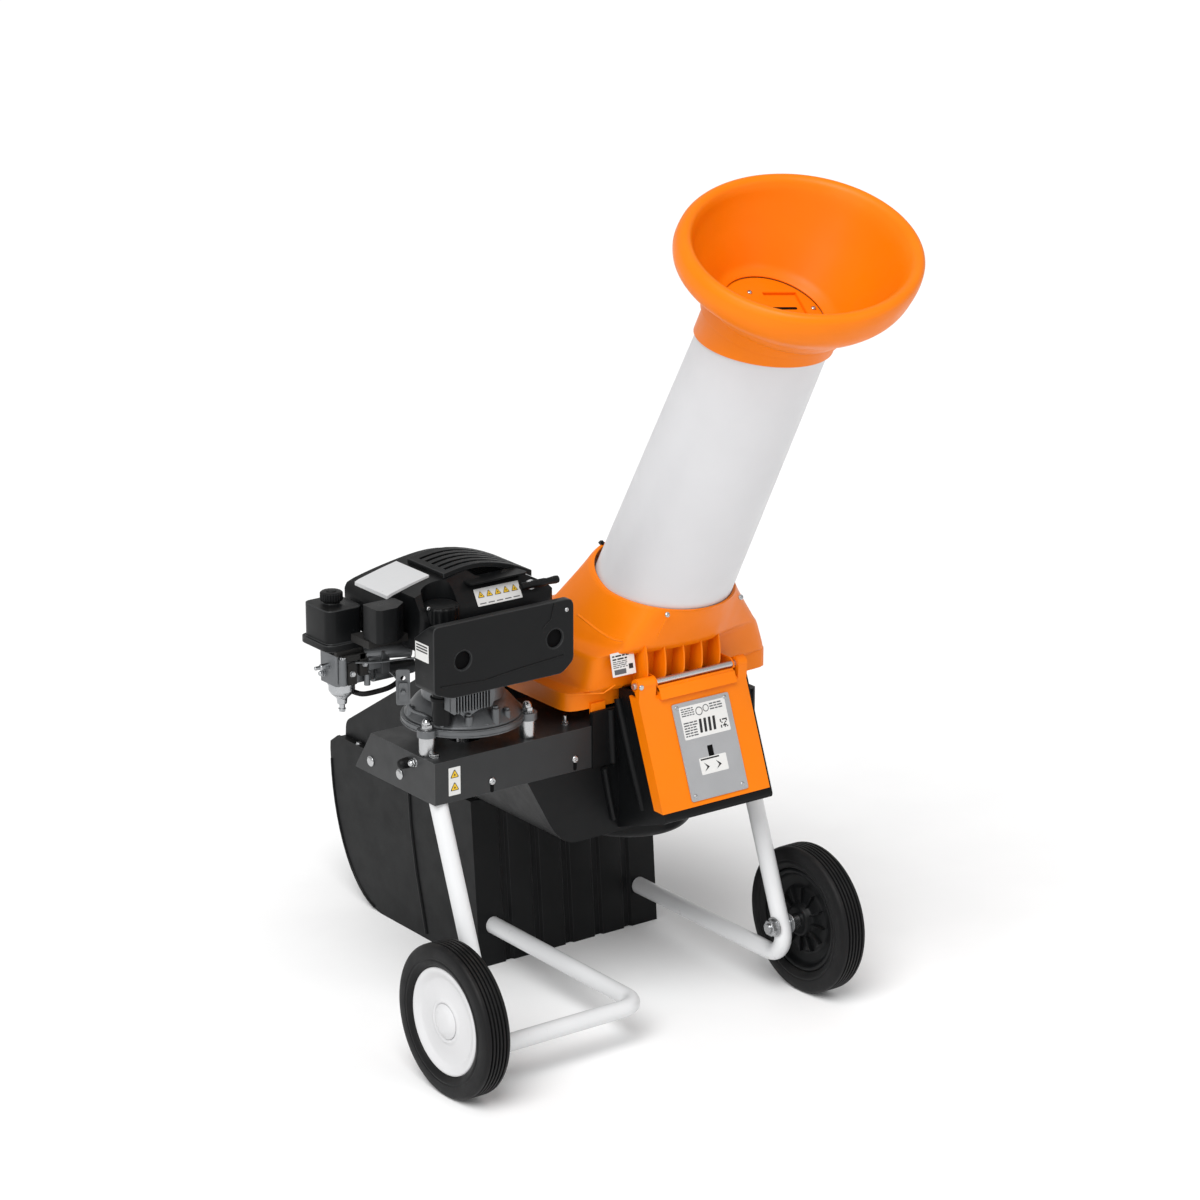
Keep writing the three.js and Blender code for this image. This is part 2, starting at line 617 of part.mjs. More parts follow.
function frontCover() {
  const { y, z, radius, head } = hinge;
  const lowZ = 385;
  const highZ = 560;
  const thick = panelThickness / Math.cos(panelLean * DEG);
  const face = (top, depth) => outline([
    [panelFaceY(lowZ), lowZ], [panelFaceY(lowZ) + depth, lowZ],
    [panelFaceY(top) + depth, top], [panelFaceY(top), top]]);
  const sheetFace = alongX(face(highZ, thick), 33, 249);
  const wrap = alongX(face(highZ, 24), 33, frontBox.left - GAP);
  const earPieces = ears.flatMap(([x0, x1]) => [
    alongX(outline([[panelFaceY(highZ - 5), highZ - 5], [panelFaceY(highZ - 5) + thick, highZ - 5],
      [y + head - 5, z - 2], [y - head, z - 2]]), x0, x1),
    rodX(head, x0, x1, y, z),
  ]);
  const boxClear = block(frontBox.left - GAP, frontBox.right, 0, 200, 500, frontBox.top + GAP)
    .intersect(alongX(outline([[boxFaceY(500) - GAP, 500], [200, 500], [200, frontBox.top + GAP],
      [boxFaceY(frontBox.top) - GAP, frontBox.top + GAP]]), 0, 300));
  add('front_cover', cut(join(sheetFace, wrap, ...earPieces), boxClear,
    rodX(radius + GAP, 0, 300, y, z)), looks.orange);
  add('hinge_rod', join(rodX(radius, rodEnds.left, rodEnds.right, y, z),
    rodX(8, rodEnds.left - 3, 32.6, y, z, 6)), looks.steel);
}

function dataPlate() {
  const front = (z) => panelFaceY(z) - 1.8;
  const back = (z) => panelFaceY(z) - GAP;
  const slab = alongX(outline([[front(393), 393], [back(393), 393], [back(541), 541],
    [front(541), 541]]), 92, 206);
  const slot = block(143, 154, -60, 80, 446, 470);
  add('data_plate', cut(slab, slot), looks.silverTrim);
}

// ---------------------------------------------------------------- hopper

// The hood narrows from a square skirt with small corners to the oval that holds the feed tube.
// Each level is [share of the way in from skirt to rim, share of the way up].
const hoodLevels = [[0, 0], [0.26, 0.03], [0.33, 0.42], [0.62, 0.49], [1, 1]];
const ringPoints = 32;

function hoodRing(inward, up, inset) {
  const squareness = 16;
  return Array.from({ length: ringPoints }, (_, k) => {
    const across = Math.cos((2 * Math.PI * k) / ringPoints);
    const along = Math.sin((2 * Math.PI * k) / ringPoints);
    const spread = (Math.abs(across) ** squareness + Math.abs(along) ** squareness)
      ** (-1 / squareness);
    const low = new THREE.Vector3(
      cutter.x + (skirt.halfX - inset) * spread * across,
      skirt.y + (skirt.halfY - inset) * spread * along, skirt.top);
    const highX = cutter.x + (rim.halfX - inset) * across;
    const highY = rim.y + (rim.halfY - inset) * along;
    const slope = highY > rim.y ? rim.backSlope : cutLean;
    const high = new THREE.Vector3(highX, highY, rim.z + slope * (highY - rim.y));
    const point = low.clone().lerp(high, inward);
    point.z = low.z + (high.z - low.z) * up;
    return point;
  });
}

function hoodSkin(inset, drop) {
  const rings = hoodLevels.map(([inward, up]) => hoodRing(inward, up, inset));
  const foot = rings[0].map((point) => point.clone().setZ(skirt.bottom - drop));
  rings[0].forEach((point) => { point.z -= inset; });
  rings[1].forEach((point) => { point.z -= inset; });
  const last = rings.at(-1);
  if (drop > 0) rings.push(last.map((point) => point.clone().setZ(point.z + drop)));
  return loft([foot, ...rings]);
}

function hood() {
  const { y, z, radius } = hinge;
  const lugs = [[70, 77], [221, 228]].map(([x0, x1]) => join(
    rodX(10, x0, x1, y, z),
    alongX(outline([[y, z - 10], [88, z - 10], [88, z + 16], [y, z + 10]]), x0, x1)));
  const gussets = [82, 115, 148, 181, 214].map((x) => alongX(
    outline([[46, 631], [80, 631], [80, 572], [66, 572], [60, 600]]), x - 2, x + 2));
  const skin = join(hoodSkin(0, 0), ...lugs, ...gussets);
  const outletGap = block(cutter.x - 78, cutter.x + 78, 380, 420, skirt.bottom - 1, 556);
  const lockHole = rodX(5.3, 330, 370, 260, 551, 16);
  add('hood', cut(skin, hoodSkin(skirt.wall, 5), rodX(radius + 0.4, 60, 240, y, z),
    outletGap, lockHole), looks.orange);
}

// Planes that cut both ends of the feed tube, as the Y, Z half space above or below them.
function obliqueSlab(lowZ, highZ, near = -400, far = 500) {
  const level = (y, z) => z + cutLean * (y - rim.y);
  return alongX(outline([[near, level(near, lowZ)], [far, level(far, lowZ)],
    [far, level(far, highZ)], [near, level(near, highZ)]]), -200, 500);
}

// Turns a profile of [radius, distance up the feed axis] into place. Above skewFrom the rings
// lean over, so that the funnel's mouth is not square to the tube.
function onFeedAxis(profile, segments = 32, skewFrom = Infinity) {
  const points = profile.map(([r, s]) => new THREE.Vector2(r, s));
  if (points[0].x > 0) points.push(points[0].clone());
  const lathe = new THREE.LatheGeometry(points, segments).rotateX(Math.PI / 2);
  const place = lathe.attributes.position;
  for (let i = 0; i < place.count; i += 1) {
    const s = place.getZ(i);
    const share = THREE.MathUtils.clamp((s - skewFrom) / (lip.s - skewFrom), 0, 1);
    const rise = lip.leanX * place.getX(i) + lip.leanY * place.getY(i);
    place.setZ(i, s + (s > skewFrom ? share * rise : 0));
  }
  return solidFrom(lathe.rotateX(feed.lean * DEG).translate(cutter.x, feed.y, feed.z));
}

const tubeRadius = (s) => feed.radius - feed.taper * s;
const tubeTop = 428;

function feedTube() {
  const low = -220;
  const bore = (s) => tubeRadius(s) - feed.wall;
  const blank = onFeedAxis([[bore(low), low], [tubeRadius(low), low],
    [tubeRadius(tubeTop), tubeTop], [bore(tubeTop), tubeTop]]);
  add('feed_tube', blank.intersect(obliqueSlab(658, 2000)), looks.feedWhite);
}

const lip = { radius: 186, s: 580, mouth: 163, leanX: 0.16, leanY: -0.105 };

function funnel() {
  const sleeve = tubeRadius(380) + GAP;
  const throat = tubeRadius(tubeTop) - feed.wall;
  const { radius, mouth } = lip;
  const blank = onFeedAxis([
    [sleeve, 370], [sleeve + 2.4, 370], [sleeve + 2.4, 434], [sleeve + 6, 440], [sleeve + 7, 466],
    [radius - 58, 494], [radius - 14, 536], [radius, lip.s], [radius - 2, 596],
    [radius - 10, 606], [mouth, 600], [mouth - 27, 540], [throat, 482], [throat, tubeTop + GAP],
    [sleeve, tubeTop + GAP],
  ], 32, 486);
  const collarFoot = obliqueSlab(1204, 3000);
  add('funnel', blank.intersect(collarFoot), looks.orange);
}

const flapS = 466;                     // the flap's place up the feed axis

function feedFlap() {
  const radius = 84;
  const [low, high] = [flapS - 2, flapS + 2];
  add('feed_flap', onFeedAxis([[0, low], [radius, low], [radius, high], [0, high]]), looks.rubber);
}

function hoodLock() {
  const lock = { y: 260, z: 551, wall: cutter.x + skirt.halfX };
  add('lock_knob', join(rodX(5, 320.3, lock.wall + 1, lock.y, lock.z, 16),
    rodX(20, lock.wall + GAP, lock.wall + 24, lock.y, lock.z, 12)), looks.blackPlastic);
}

// ---------------------------------------------------------------- discharge

// The rear edge of the cheeks: a quarter of an oval from the ground up to the ledge.
const sweep = { startY: 690, y: 844, top: 262 };

function sweepPoint(angle, inset) {
  return [
    sweep.startY + (sweep.y - sweep.startY - inset) * Math.sin(angle),
    sweep.top - (sweep.top - inset) * Math.cos(angle),
  ];
}

function sweepPoints(inset, steps = 8) {
  return Array.from({ length: steps + 1 }, (_, k) => sweepPoint((90 * k * DEG) / steps, inset));
}

const frontWallY = (z) => chute.front + chute.lean * z;

function leaningWall(shape, z0, z1) {
  const shear = new THREE.Matrix4().makeShear(0, 0, 0, 0, 0, chute.lean);
  const wall = extrude(shape, z1 - z0).translate(0, 0, z0).applyMatrix4(shear);
  return solidFrom(wall);
}

function dischargeChute() {
  const { left, right, front, wall, ledge } = chute;
  const cheekShape = outline([[frontWallY(0), 0], ...sweepPoints(0), [sweep.y - 1, 276],
    [820, ledge], [frontWallY(ledge), ledge]]);
  const cheeks = [[left, left + wall], [right - wall, right]].map(([x0, x1]) =>
    alongX(cheekShape, x0, x1));
  const grooves = 5;
  const pitch = (right - left) / (grooves + 1);
  const waves = [[left, front + wall], [left, front]];
  for (let k = 1; k <= grooves; k += 1) {
    const x = left + k * pitch;
    waves.push([x - 9, front], [x - 5, front + wall], [x + 5, front + wall], [x + 9, front]);
  }
  waves.push([right, front], [right, front + wall]);
  for (let k = grooves; k >= 1; k -= 1) {
    const x = left + k * pitch;
    waves.push([x + 9, front + wall], [x + 5, front + 2 * wall], [x - 5, front + 2 * wall],
      [x - 9, front + wall]);
  }
  const frontWall = leaningWall(outline(waves), 0, ledge);
  const rims = [
    block(left, left + 26, front + 2, sweep.startY, 0, 5),
    block(right - 26, right, front + 2, sweep.startY, 0, 5),
    block(left, left + chute.inset + 8, frontWallY(ledge), 815, ledge - 5, ledge),
    block(right - chute.inset - 8, right, frontWallY(ledge), 815, ledge - 5, ledge),
  ];
  const footHoles = [frameTube.legX, crossTubeEndX].map((x) =>
    rodY(frameTube.radius + 0.5, x, 300, 460, footHeight));
  add('discharge_chute', cut(join(...cheeks, frontWall, ...rims), ...footHoles),
    looks.blackPlastic);
}

function upperDuct() {
  const { left, right, wall, ledge, inset } = chute;
  const [x0, x1] = [left + inset, right - inset];
  const foot = ledge + GAP;
  const profile = (t) => outline([
    [413 + t, foot - t], [413 + t, 548 - t, 6], [440, 548 - t, 20], [810 - t, 320 - t, 12],
    [812 - t, foot - t],
  ]);
  const inlet = block(cutter.x - 80, cutter.x + 80, 405, 425, plate.top - 2, 540);
  add('discharge_duct', cut(alongX(profile(0), x0, x1), alongX(profile(wall), x0 + wall, x1 - wall),
    inlet), looks.blackPlastic);
}

function chuteExtension() {
  const { left, right, wall } = chute;
  const [x0, x1] = [left + wall + 1, right - wall - 1];
  const shell = outline([...sweepPoints(1), ...sweepPoints(6).reverse()]);
  const barrel = rodX(6, x0, x1, sweep.y - 7, sweep.top + 2, 16);
  const lift = block(x0 - 1, x1 + 1, 600, 900, -5, 4);
  add('chute_extension', cut(join(alongX(shell, x0, x1), barrel), lift), looks.blackPlastic);
}

// ---------------------------------------------------------------- assembly

frameTubes();
wheelPieces(-1, 'left');
wheelPieces(1, 'right');
basePlate();
engineMounting();
crankcase();
cylinderHead();
exhaust();
blowerShroud();
fuelSystem();
oilFiller();
startHandle();
rotatingCrank();
driveBelt();
cutterUnit();
lowerHousing();
frontCover();
dataPlate();
hood();
feedTube();
funnel();
feedFlap();
hoodLock();
dischargeChute();
upperDuct();
chuteExtension();

machine.updateMatrixWorld(true);
const footprint = new THREE.Box3().setFromObject(machine, true);
const middle = footprint.getCenter(new THREE.Vector3());
machine.position.set(-middle.x, -middle.y, -footprint.min.z);

export default machine;
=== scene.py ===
import math
import random

import bmesh
import bpy
from mathutils import Matrix, Vector
from mathutils.geometry import tessellate_polygon


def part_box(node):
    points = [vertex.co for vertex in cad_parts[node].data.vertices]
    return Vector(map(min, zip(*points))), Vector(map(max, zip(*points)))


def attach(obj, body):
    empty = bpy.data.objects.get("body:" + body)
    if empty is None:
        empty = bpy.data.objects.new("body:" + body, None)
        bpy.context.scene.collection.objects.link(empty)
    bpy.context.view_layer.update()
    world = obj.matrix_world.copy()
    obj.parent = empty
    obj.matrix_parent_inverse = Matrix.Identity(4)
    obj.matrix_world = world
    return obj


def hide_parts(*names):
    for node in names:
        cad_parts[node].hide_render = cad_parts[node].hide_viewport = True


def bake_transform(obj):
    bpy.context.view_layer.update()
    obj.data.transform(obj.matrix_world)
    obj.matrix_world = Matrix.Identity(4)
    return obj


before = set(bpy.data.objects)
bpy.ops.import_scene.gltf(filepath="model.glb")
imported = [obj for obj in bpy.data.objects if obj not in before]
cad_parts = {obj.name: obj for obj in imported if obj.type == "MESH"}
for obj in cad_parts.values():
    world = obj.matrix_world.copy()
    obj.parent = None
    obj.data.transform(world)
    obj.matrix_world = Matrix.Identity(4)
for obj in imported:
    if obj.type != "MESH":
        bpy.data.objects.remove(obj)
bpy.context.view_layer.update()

MM = 0.001
DEG = math.pi / 180
chance = random.Random(7)  # seeded, so the printed marks never change


def axle_foot():
    """The ground point under the middle of the axle, from the two tyres."""
    corners = [c for side in ("left", "right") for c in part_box(f"{side}_tyre")]
    middle = sum(corners, Vector()) / len(corners)
    return Vector((middle.x, middle.y, 0))


AXLE = axle_foot()


def box_mm(node):
    """Lowest and highest corner of a CAD node in millimetres from the axle foot."""
    return [(corner - AXLE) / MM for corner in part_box(node)]


def middle_mm(node):
    """The middle of a CAD node as x, y and z in millimetres from the axle foot."""
    return [(low + high) / 2 for low, high in zip(*box_mm(node))]


def upright(node):
    """The lowest and highest corner of a round upright CAD node, and its axis to draw about."""
    x, y, _ = middle_mm(node)
    return *box_mm(node), frame_at(x, y, 0)


# ---------------- materials


def node(tree, kind, inputs=(), **settings):
    made = tree.nodes.new(kind)
    for name, value in settings.items():
        setattr(made, name, value)
    for name, value in dict(inputs).items():
        if isinstance(value, bpy.types.NodeSocket):
            tree.links.new(value, made.inputs[name])
        else:
            made.inputs[name].default_value = value
    return made


def noise(tree, place, scale, detail=3.0, rough=0.55):
    made = node(tree, "ShaderNodeTexNoise", {
        "Vector": place, "Scale": scale, "Detail": detail, "Roughness": rough})
    return made.outputs["Fac"]


def remap(tree, value, low, high, to_low, to_high):
    made = node(tree, "ShaderNodeMapRange", {
        "Value": value, "From Min": low, "From Max": high, "To Min": to_low, "To Max": to_high})
    return made.outputs["Result"]


def blend_colour(tree, share, first, second):
    made = node(tree, "ShaderNodeMix", {0: share, 6: first, 7: second}, data_type="RGBA")
    return made.outputs[2]


def linear(colour, gain=1.0):
    """An sRGB colour of 0 to 255 as the linear one that shaders take."""
    parts = [c / 255 for c in colour]
    parts = [c / 12.92 if c <= 0.04045 else ((c + 0.055) / 1.055) ** 2.4 for c in parts]
    return (*[min(1.0, c * gain) for c in parts], 1.0)


def finish(name, colour, rough, metal=0.0, grain=900, depth=0.1, mottle=0.08, stretch=(1, 1, 1),
           coat=0.0, dust=0.0, scuff=0.25, specular=0.5):
    """A moulded, painted or metal surface: cloudy tone, fine grain, smears, scuffs and dust."""
    material = bpy.data.materials.new(name)
    material.use_nodes = True
    tree = material.node_tree
    shader = tree.nodes["Principled BSDF"]
    place = node(tree, "ShaderNodeTexCoord").outputs["Object"]
    drawn = node(tree, "ShaderNodeMapping", {"Vector": place, "Scale": stretch}).outputs["Vector"]
    cloud = remap(tree, noise(tree, place, 9, 4), 0.3, 0.7, 0, 1)
    tone = blend_colour(tree, cloud, linear(colour, 1 - mottle), linear(colour, 1 + mottle))
    scratches = remap(tree, noise(tree, drawn, 130, 8, 0.7), 0.6, 0.74, 0, scuff)
    worn = blend_colour(tree, scratches, tone, linear(colour, 1 + 2.5 * mottle))
    if dust > 0:
        up = node(tree, "ShaderNodeSeparateXYZ", {
            "Vector": node(tree, "ShaderNodeNewGeometry").outputs["Normal"]}).outputs["Z"]
        patch = remap(tree, noise(tree, place, 22, 6, 0.65), 0.42, 0.7, 0, dust)
        share = node(tree, "ShaderNodeMath", {
            0: remap(tree, up, 0.2, 1.0, 0, 1), 1: patch}, operation="MULTIPLY").outputs[0]
        worn = blend_colour(tree, share, worn, linear((150, 143, 132)))
    tree.links.new(worn, shader.inputs["Base Color"])
    smear = noise(tree, place, 30, 6, 0.6)
    tree.links.new(remap(tree, smear, 0.3, 0.7, max(0.04, rough - 0.07), rough + 0.08),
                   shader.inputs["Roughness"])
    height = noise(tree, drawn, grain, 2)
    bump = node(tree, "ShaderNodeBump", {
        "Height": height, "Strength": depth, "Distance": 0.0006}).outputs["Normal"]
    tree.links.new(bump, shader.inputs["Normal"])
    shader.inputs["Metallic"].default_value = metal
    shader.inputs["Coat Weight"].default_value = coat
    shader.inputs["Coat Roughness"].default_value = 0.15
    shader.inputs["Specular IOR Level"].default_value = specular
    return material


LOOKS = {
    "orange": finish("orange_moulding", (236, 121, 2), 0.38, grain=1100, depth=0.06, mottle=0.035,
                     dust=0.02, scuff=0.1, specular=0.18),
    "tube": finish("pale_tube", (216, 217, 218), 0.33, grain=700, depth=0.04, mottle=0.02,
                   coat=0.25, scuff=0.1),
    "feed": finish("feed_tube_plastic", (208, 208, 210), 0.38, depth=0.05, mottle=0.02,
                   stretch=(1, 1, 0.2), scuff=0.12),
    "hub": finish("hub_white", (206, 206, 207), 0.36, grain=1000, depth=0.06, mottle=0.025,
                  dust=0.04),
    "black": finish("black_plastic", (14, 15, 16), 0.4, grain=1500, depth=0.16, mottle=0.16,
                    dust=0.02, specular=0.16),
    # Lighter black for rolled edges and rims: a painted highlight along them.
    "black_edge": finish("black_edge", (40, 41, 42), 0.36, grain=1500, mottle=0.1, specular=0.3),
    "gloss": finish("black_shell", (14, 15, 16), 0.34, grain=700, depth=0.05, mottle=0.14,
                    dust=0.02, specular=0.16),
    "rubber": finish("tyre_rubber", (15, 15, 16), 0.52, grain=1300, depth=0.25, mottle=0.18,
                     dust=0.05, scuff=0.4, specular=0.2),
    # Near black for inside holes, slots and recesses: painted shade.
    "void": finish("painted_shade_inside", (7, 7, 8), 0.8, grain=600, depth=0.2, mottle=0.2, specular=0.1),
    # Darkened steel; on the silencer its darkness is painted shade seen through the exhaust holes.
    "soot": finish("darkened_steel", (30, 29, 28), 0.6, metal=0.3, grain=600, depth=0.2, mottle=0.2),
    "plate": finish("grey_paint", (38, 39, 40), 0.4, grain=420, depth=0.09, mottle=0.07,
                    coat=0.06, dust=0.02, specular=0.3),
    "plate_edge": finish("grey_paint_edge", (70, 71, 72), 0.34, grain=420, mottle=0.12,
                         specular=0.4),
    "alloy": finish("cast_alloy", (108, 110, 112), 0.42, metal=0.8, grain=650, depth=0.4,
                    mottle=0.16, dust=0.04, scuff=0.4),
    "alloy_edge": finish("machined_alloy", (176, 178, 180), 0.26, metal=1.0, grain=1500,
                         depth=0.15, mottle=0.08),
    "steel": finish("zinc_steel", (186, 187, 188), 0.24, metal=1.0, grain=1200, depth=0.12,
                    mottle=0.08, stretch=(1, 1, 8)),
    "rod": finish("polished_rod", (196, 196, 198), 0.28, metal=0.9, grain=1500, depth=0.08,
                  mottle=0.04, stretch=(0.1, 1, 1)),
    "trim": finish("silver_trim", (208, 209, 210), 0.34, metal=0.15, grain=1600, depth=0.06,
                   mottle=0.025, coat=0.3),
    "sheet": finish("brushed_aluminium", (176, 177, 179), 0.4, metal=0.6, grain=1500, depth=0.14,
                    mottle=0.05, stretch=(0.04, 1, 1)),
    "belt": finish("belt_rubber", (24, 24, 25), 0.7, grain=1800, depth=0.35, mottle=0.2,
                   scuff=0.4, specular=0.2),
    "paper": finish("label_white", (214, 214, 212), 0.42, depth=0.03, mottle=0.02),
    "print": finish("label_print", (84, 86, 89), 0.5, depth=0.03, mottle=0.1),
    "ink": finish("label_black", (18, 18, 19), 0.5, depth=0.03, mottle=0.1),
    "yellow": finish("label_yellow", (226, 184, 30), 0.45, depth=0.03, mottle=0.05),
}

# The CAD material that each look stands for, where a piece doesn't name another.
SLOTS = {look: slot for slot, looks in {
    "orange_plastic": "orange", "pale_paint": "tube feed", "hub_plastic": "hub",
    "black_plastic": "black black_edge gloss", "tyre_rubber": "rubber", "grey_paint": "plate",
    "cast_alloy": "alloy alloy_edge", "zinc_steel": "steel rod soot", "trim_silver": "trim",
    "plate_aluminium": "sheet", "belt_rubber": "belt"}.items() for look in looks.split()}

# ---------------- shapes


def rounded(points, steps=4):
    """An outline through (u, v, reach) corners; reach is how far a corner's rounding starts."""
    line = []
    for i, (u, v, *reach) in enumerate(points):
        here = Vector((u, v))
        before = Vector(points[i - 1][:2]) - here
        after = Vector(points[(i + 1) % len(points)][:2]) - here
        start = min(reach[0] if reach else 0, 0.48 * before.length, 0.48 * after.length)
        if start <= 0:
            line.append((u, v))
            continue
        enter = here + before.normalized() * start
        leave = here + after.normalized() * start
        for k in range(steps + 1):
            t = k / steps
            point = enter.lerp(here, t).lerp(here.lerp(leave, t), t)
            line.append((point.x, point.y))
    return line


def rectangle(u0, u1, v0, v1, reach=0):
    return [(u0, v0, reach), (u1, v0, reach), (u1, v1, reach), (u0, v1, reach)]


def circle(u, v, radius, count=32):
    turn = 2 * math.pi / count
    return [(u + radius * math.cos(k * turn), v + radius * math.sin(k * turn))
            for k in range(count)]


def drum(radius, low, high, reach=0, inner=0):
    """The profile of a plain disc, rod or ring."""
    return [(inner, low), (radius, low, reach), (radius, high, reach), (inner, high)]


def frame_at(x, y, z, along=(0, 0, 1), across=(1, 0, 0)):
    """Places a shape drawn about its own Z: its Z turns to along, and its X towards across."""
    up = Vector(along).normalized()
    side = Vector(across)
    side = (side - up * side.dot(up)).normalized()
    turn = Matrix((side, up.cross(side), up)).transposed().to_4x4()
    return Matrix.Translation((x, y, z)) @ turn


def facing_x(x=0, y=0, z=0, sign=1):
    """Drawn (u, v, w) becomes (w, u, v) along X, mirrored for the left side."""
    return frame_at(x, y, z, (sign, 0, 0), (0, sign, 0))


def facing_front(x=0, y=0, z=0):
    """Drawn (u, v, w) becomes X, Z and towards the front, so height counts towards -Y."""
    return frame_at(x, y, z, (0, -1, 0), (1, 0, 0))


class Shape:
    """Closed bodies gathered into one piece, in millimetres, each face with its own look."""

    def __init__(self, look):
        self.points = []
        self.faces = []
        self.face_looks = []
        self.looks = [look]
        self.current = 0

    def use(self, look):
        if look not in self.looks:
            self.looks.append(look)
        self.current = self.looks.index(look)
        return self

    def add(self, points, faces, place=None):
        start = len(self.points)
        spot = place if place is not None else Matrix.Identity(4)
        self.points += [spot @ Vector(p) for p in points]
        self.faces += [[start + i for i in face] for face in faces]
        self.face_looks += [self.current] * len(faces)
        return self

    def skin(self, rings, place=None, closed=False):
        """A skin through rings of equal counts, capped at both ends unless closed on itself."""
        count = len(rings[0])
        faces = []
        for level in range(len(rings) if closed else len(rings) - 1):
            low = level * count
            high = ((level + 1) % len(rings)) * count
            for k in range(count):
                after = (k + 1) % count
                faces.append((low + k, low + after, high + after, high + k))
        if not closed:
            last = (len(rings) - 1) * count
            faces.append(tuple(reversed(range(count))))
            faces.append(tuple(range(last, last + count)))
        return self.add([p for ring in rings for p in ring], faces, place)

    def turned(self, profile, place=None, segments=64, warp=None, ribs=None):
        """Revolves (radius, height, reach) corners about Z. A profile off the axis closes on
        itself. warp moves each (radius, height, angle); ribs is (count, depth) of knurling."""
        line = rounded(profile)
        if ribs:
            segments = ribs[0] * 4
            biggest = max(r for r, _ in line)
        rings = []
        for radius, height in line:
            ring = []
            for k in range(segments):
                angle = 2 * math.pi * k / segments
                r, h = (radius, height) if warp is None else warp(radius, height, angle)
                if ribs and radius > 0.93 * biggest and k % 4 < 2:
                    r -= ribs[1]
                ring.append((r * math.cos(angle), r * math.sin(angle), h))
            rings.append(ring)
        return self.skin(rings, place, closed=line[0][0] > 0)

    def plate(self, loops, low, high, place=None):
        """A flat plate between two heights; the first loop of (u, v, reach) corners is its
        outline, the rest are holes."""
        loops = [rounded(loop) for loop in loops]
        flat = [Vector((u, v, 0)) for loop in loops for u, v in loop]
        triangles = tessellate_polygon([[Vector((u, v, 0)) for u, v in loop] for loop in loops])
        count = len(flat)
        points = [(p.x, p.y, low) for p in flat] + [(p.x, p.y, high) for p in flat]
        faces = [tuple(reversed(t)) for t in triangles]
        faces += [tuple(i + count for i in t) for t in triangles]
        start = 0
        for loop in loops:
            for k in range(len(loop)):
                a = start + k
                b = start + (k + 1) % len(loop)
                faces.append((a, b, b + count, a + count))
            start += len(loop)
        return self.add(points, faces, place)

    def block(self, low, high, place=None):
        (x0, y0, z0), (x1, y1, z1) = low, high
        return self.plate([[(x0, y0), (x1, y0), (x1, y1), (x0, y1)]], z0, z1, place)

    def tube(self, path, radius, inner=0, segments=20):
        """A round rod or, with an inner radius, a pipe along a path of points."""
        points = [Vector(p) for p in path]
        ahead = [(points[min(i + 1, len(points) - 1)] - points[max(i - 1, 0)]).normalized()
                 for i in range(len(points))]
        side = ahead[0].orthogonal().normalized()
        sections = []
        for point, way in zip(points, ahead):
            side = (side - way * side.dot(way)).normalized()
            sections.append((point, side.copy(), way.cross(side)))

        def ring(section, size):
            point, u, v = section
            turn = 2 * math.pi / segments
            return [point + (u * math.cos(k * turn) + v * math.sin(k * turn)) * size
                    for k in range(segments)]

        rings = [ring(section, radius) for section in sections]
        if inner > 0:
            rings += [ring(section, inner) for section in reversed(sections)]
        return self.skin(rings, closed=inner > 0)

    def hex_head(self, place, radius, height):
        """A chamfered hexagon with a washer face under it."""
        self.turned(drum(radius * 1.12, 0, 0.8, 0.2), place, 32)
        return self.turned([(0, 0.8), (radius, 0.8), (radius, height * 0.85),
                            (radius * 0.9, height), (0, height)], place, 6)

    def acorn(self, place, radius, height):
        """A hexagon with a dome on top."""
        self.hex_head(place, radius, height * 0.5)
        dome = radius * 0.82
        return self.turned([(0, height * 0.5), (dome, height * 0.5), (dome, height * 0.72, 2),
                            (dome * 0.55, height, 2.5), (0, height)], place, 32)

    def screw(self, place, radius):
        """A pan head with a round recess."""
        top, hole = radius * 0.6, radius * 0.42
        return self.turned([(0, 0), (radius, 0), (radius, top * 0.5, top * 0.4),
                            (radius * 0.7, top, top * 0.4), (hole, top), (hole, top * 0.45),
                            (0, top * 0.45)], place, 30)


def soft_edges(obj, width, sharp, edge_slot=None):
    """Smooth shading with crisp corners, and a small bevel along the corners."""
    obj.data.shade_smooth()
    obj.data.set_sharp_from_angle(angle=sharp * DEG)
    if width > 0:
        bevel = obj.modifiers.new("bevel", "BEVEL")
        bevel.width = width * MM
        bevel.segments = 3
        bevel.limit_method = "ANGLE"
        bevel.angle_limit = sharp * DEG
        bevel.harden_normals = True
        if edge_slot is not None:
            bevel.material = edge_slot


def cleaned(mesh, flat=False):
    """Welds a mesh, drops empty faces and turns every face outwards."""
    work = bmesh.new()
    work.from_mesh(mesh)
    bmesh.ops.remove_doubles(work, verts=work.verts, dist=2e-6)
    bmesh.ops.dissolve_degenerate(work, edges=work.edges, dist=2e-6)
    if flat:
        bmesh.ops.dissolve_limit(work, angle_limit=0.5 * DEG, verts=work.verts, edges=work.edges)
    bmesh.ops.recalc_face_normals(work, faces=work.faces)
    work.to_mesh(mesh)
    work.free()


def linked(name, data):
    """A new object in the scene."""
    obj = bpy.data.objects.new(name, data)
    bpy.context.scene.collection.objects.link(obj)
    return obj


def mesh_from(name, shape):
    mesh = bpy.data.meshes.new(name)
    mesh.from_pydata([AXLE + p * MM for p in shape.points], [], shape.faces)
    mesh.polygons.foreach_set("material_index", shape.face_looks)
    cleaned(mesh)
    return mesh


def placed(name, mesh, looks, replaces, body, slot):
    obj = linked(name, mesh)
    for look in looks:
        mesh.materials.append(LOOKS[look])
    slot = slot or SLOTS[looks[0]]
    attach(obj, body)
    if replaces:
        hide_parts(*replaces)
    return obj


def piece(name, shape, replaces=(), bevel=0.0, sharp=32, body="machine", slot=None):
    """Makes a Shape into an object that rides on a CAD body."""
    obj = placed(name, mesh_from(name, shape), shape.looks, replaces, body, slot)
    soft_edges(obj, bevel, sharp)


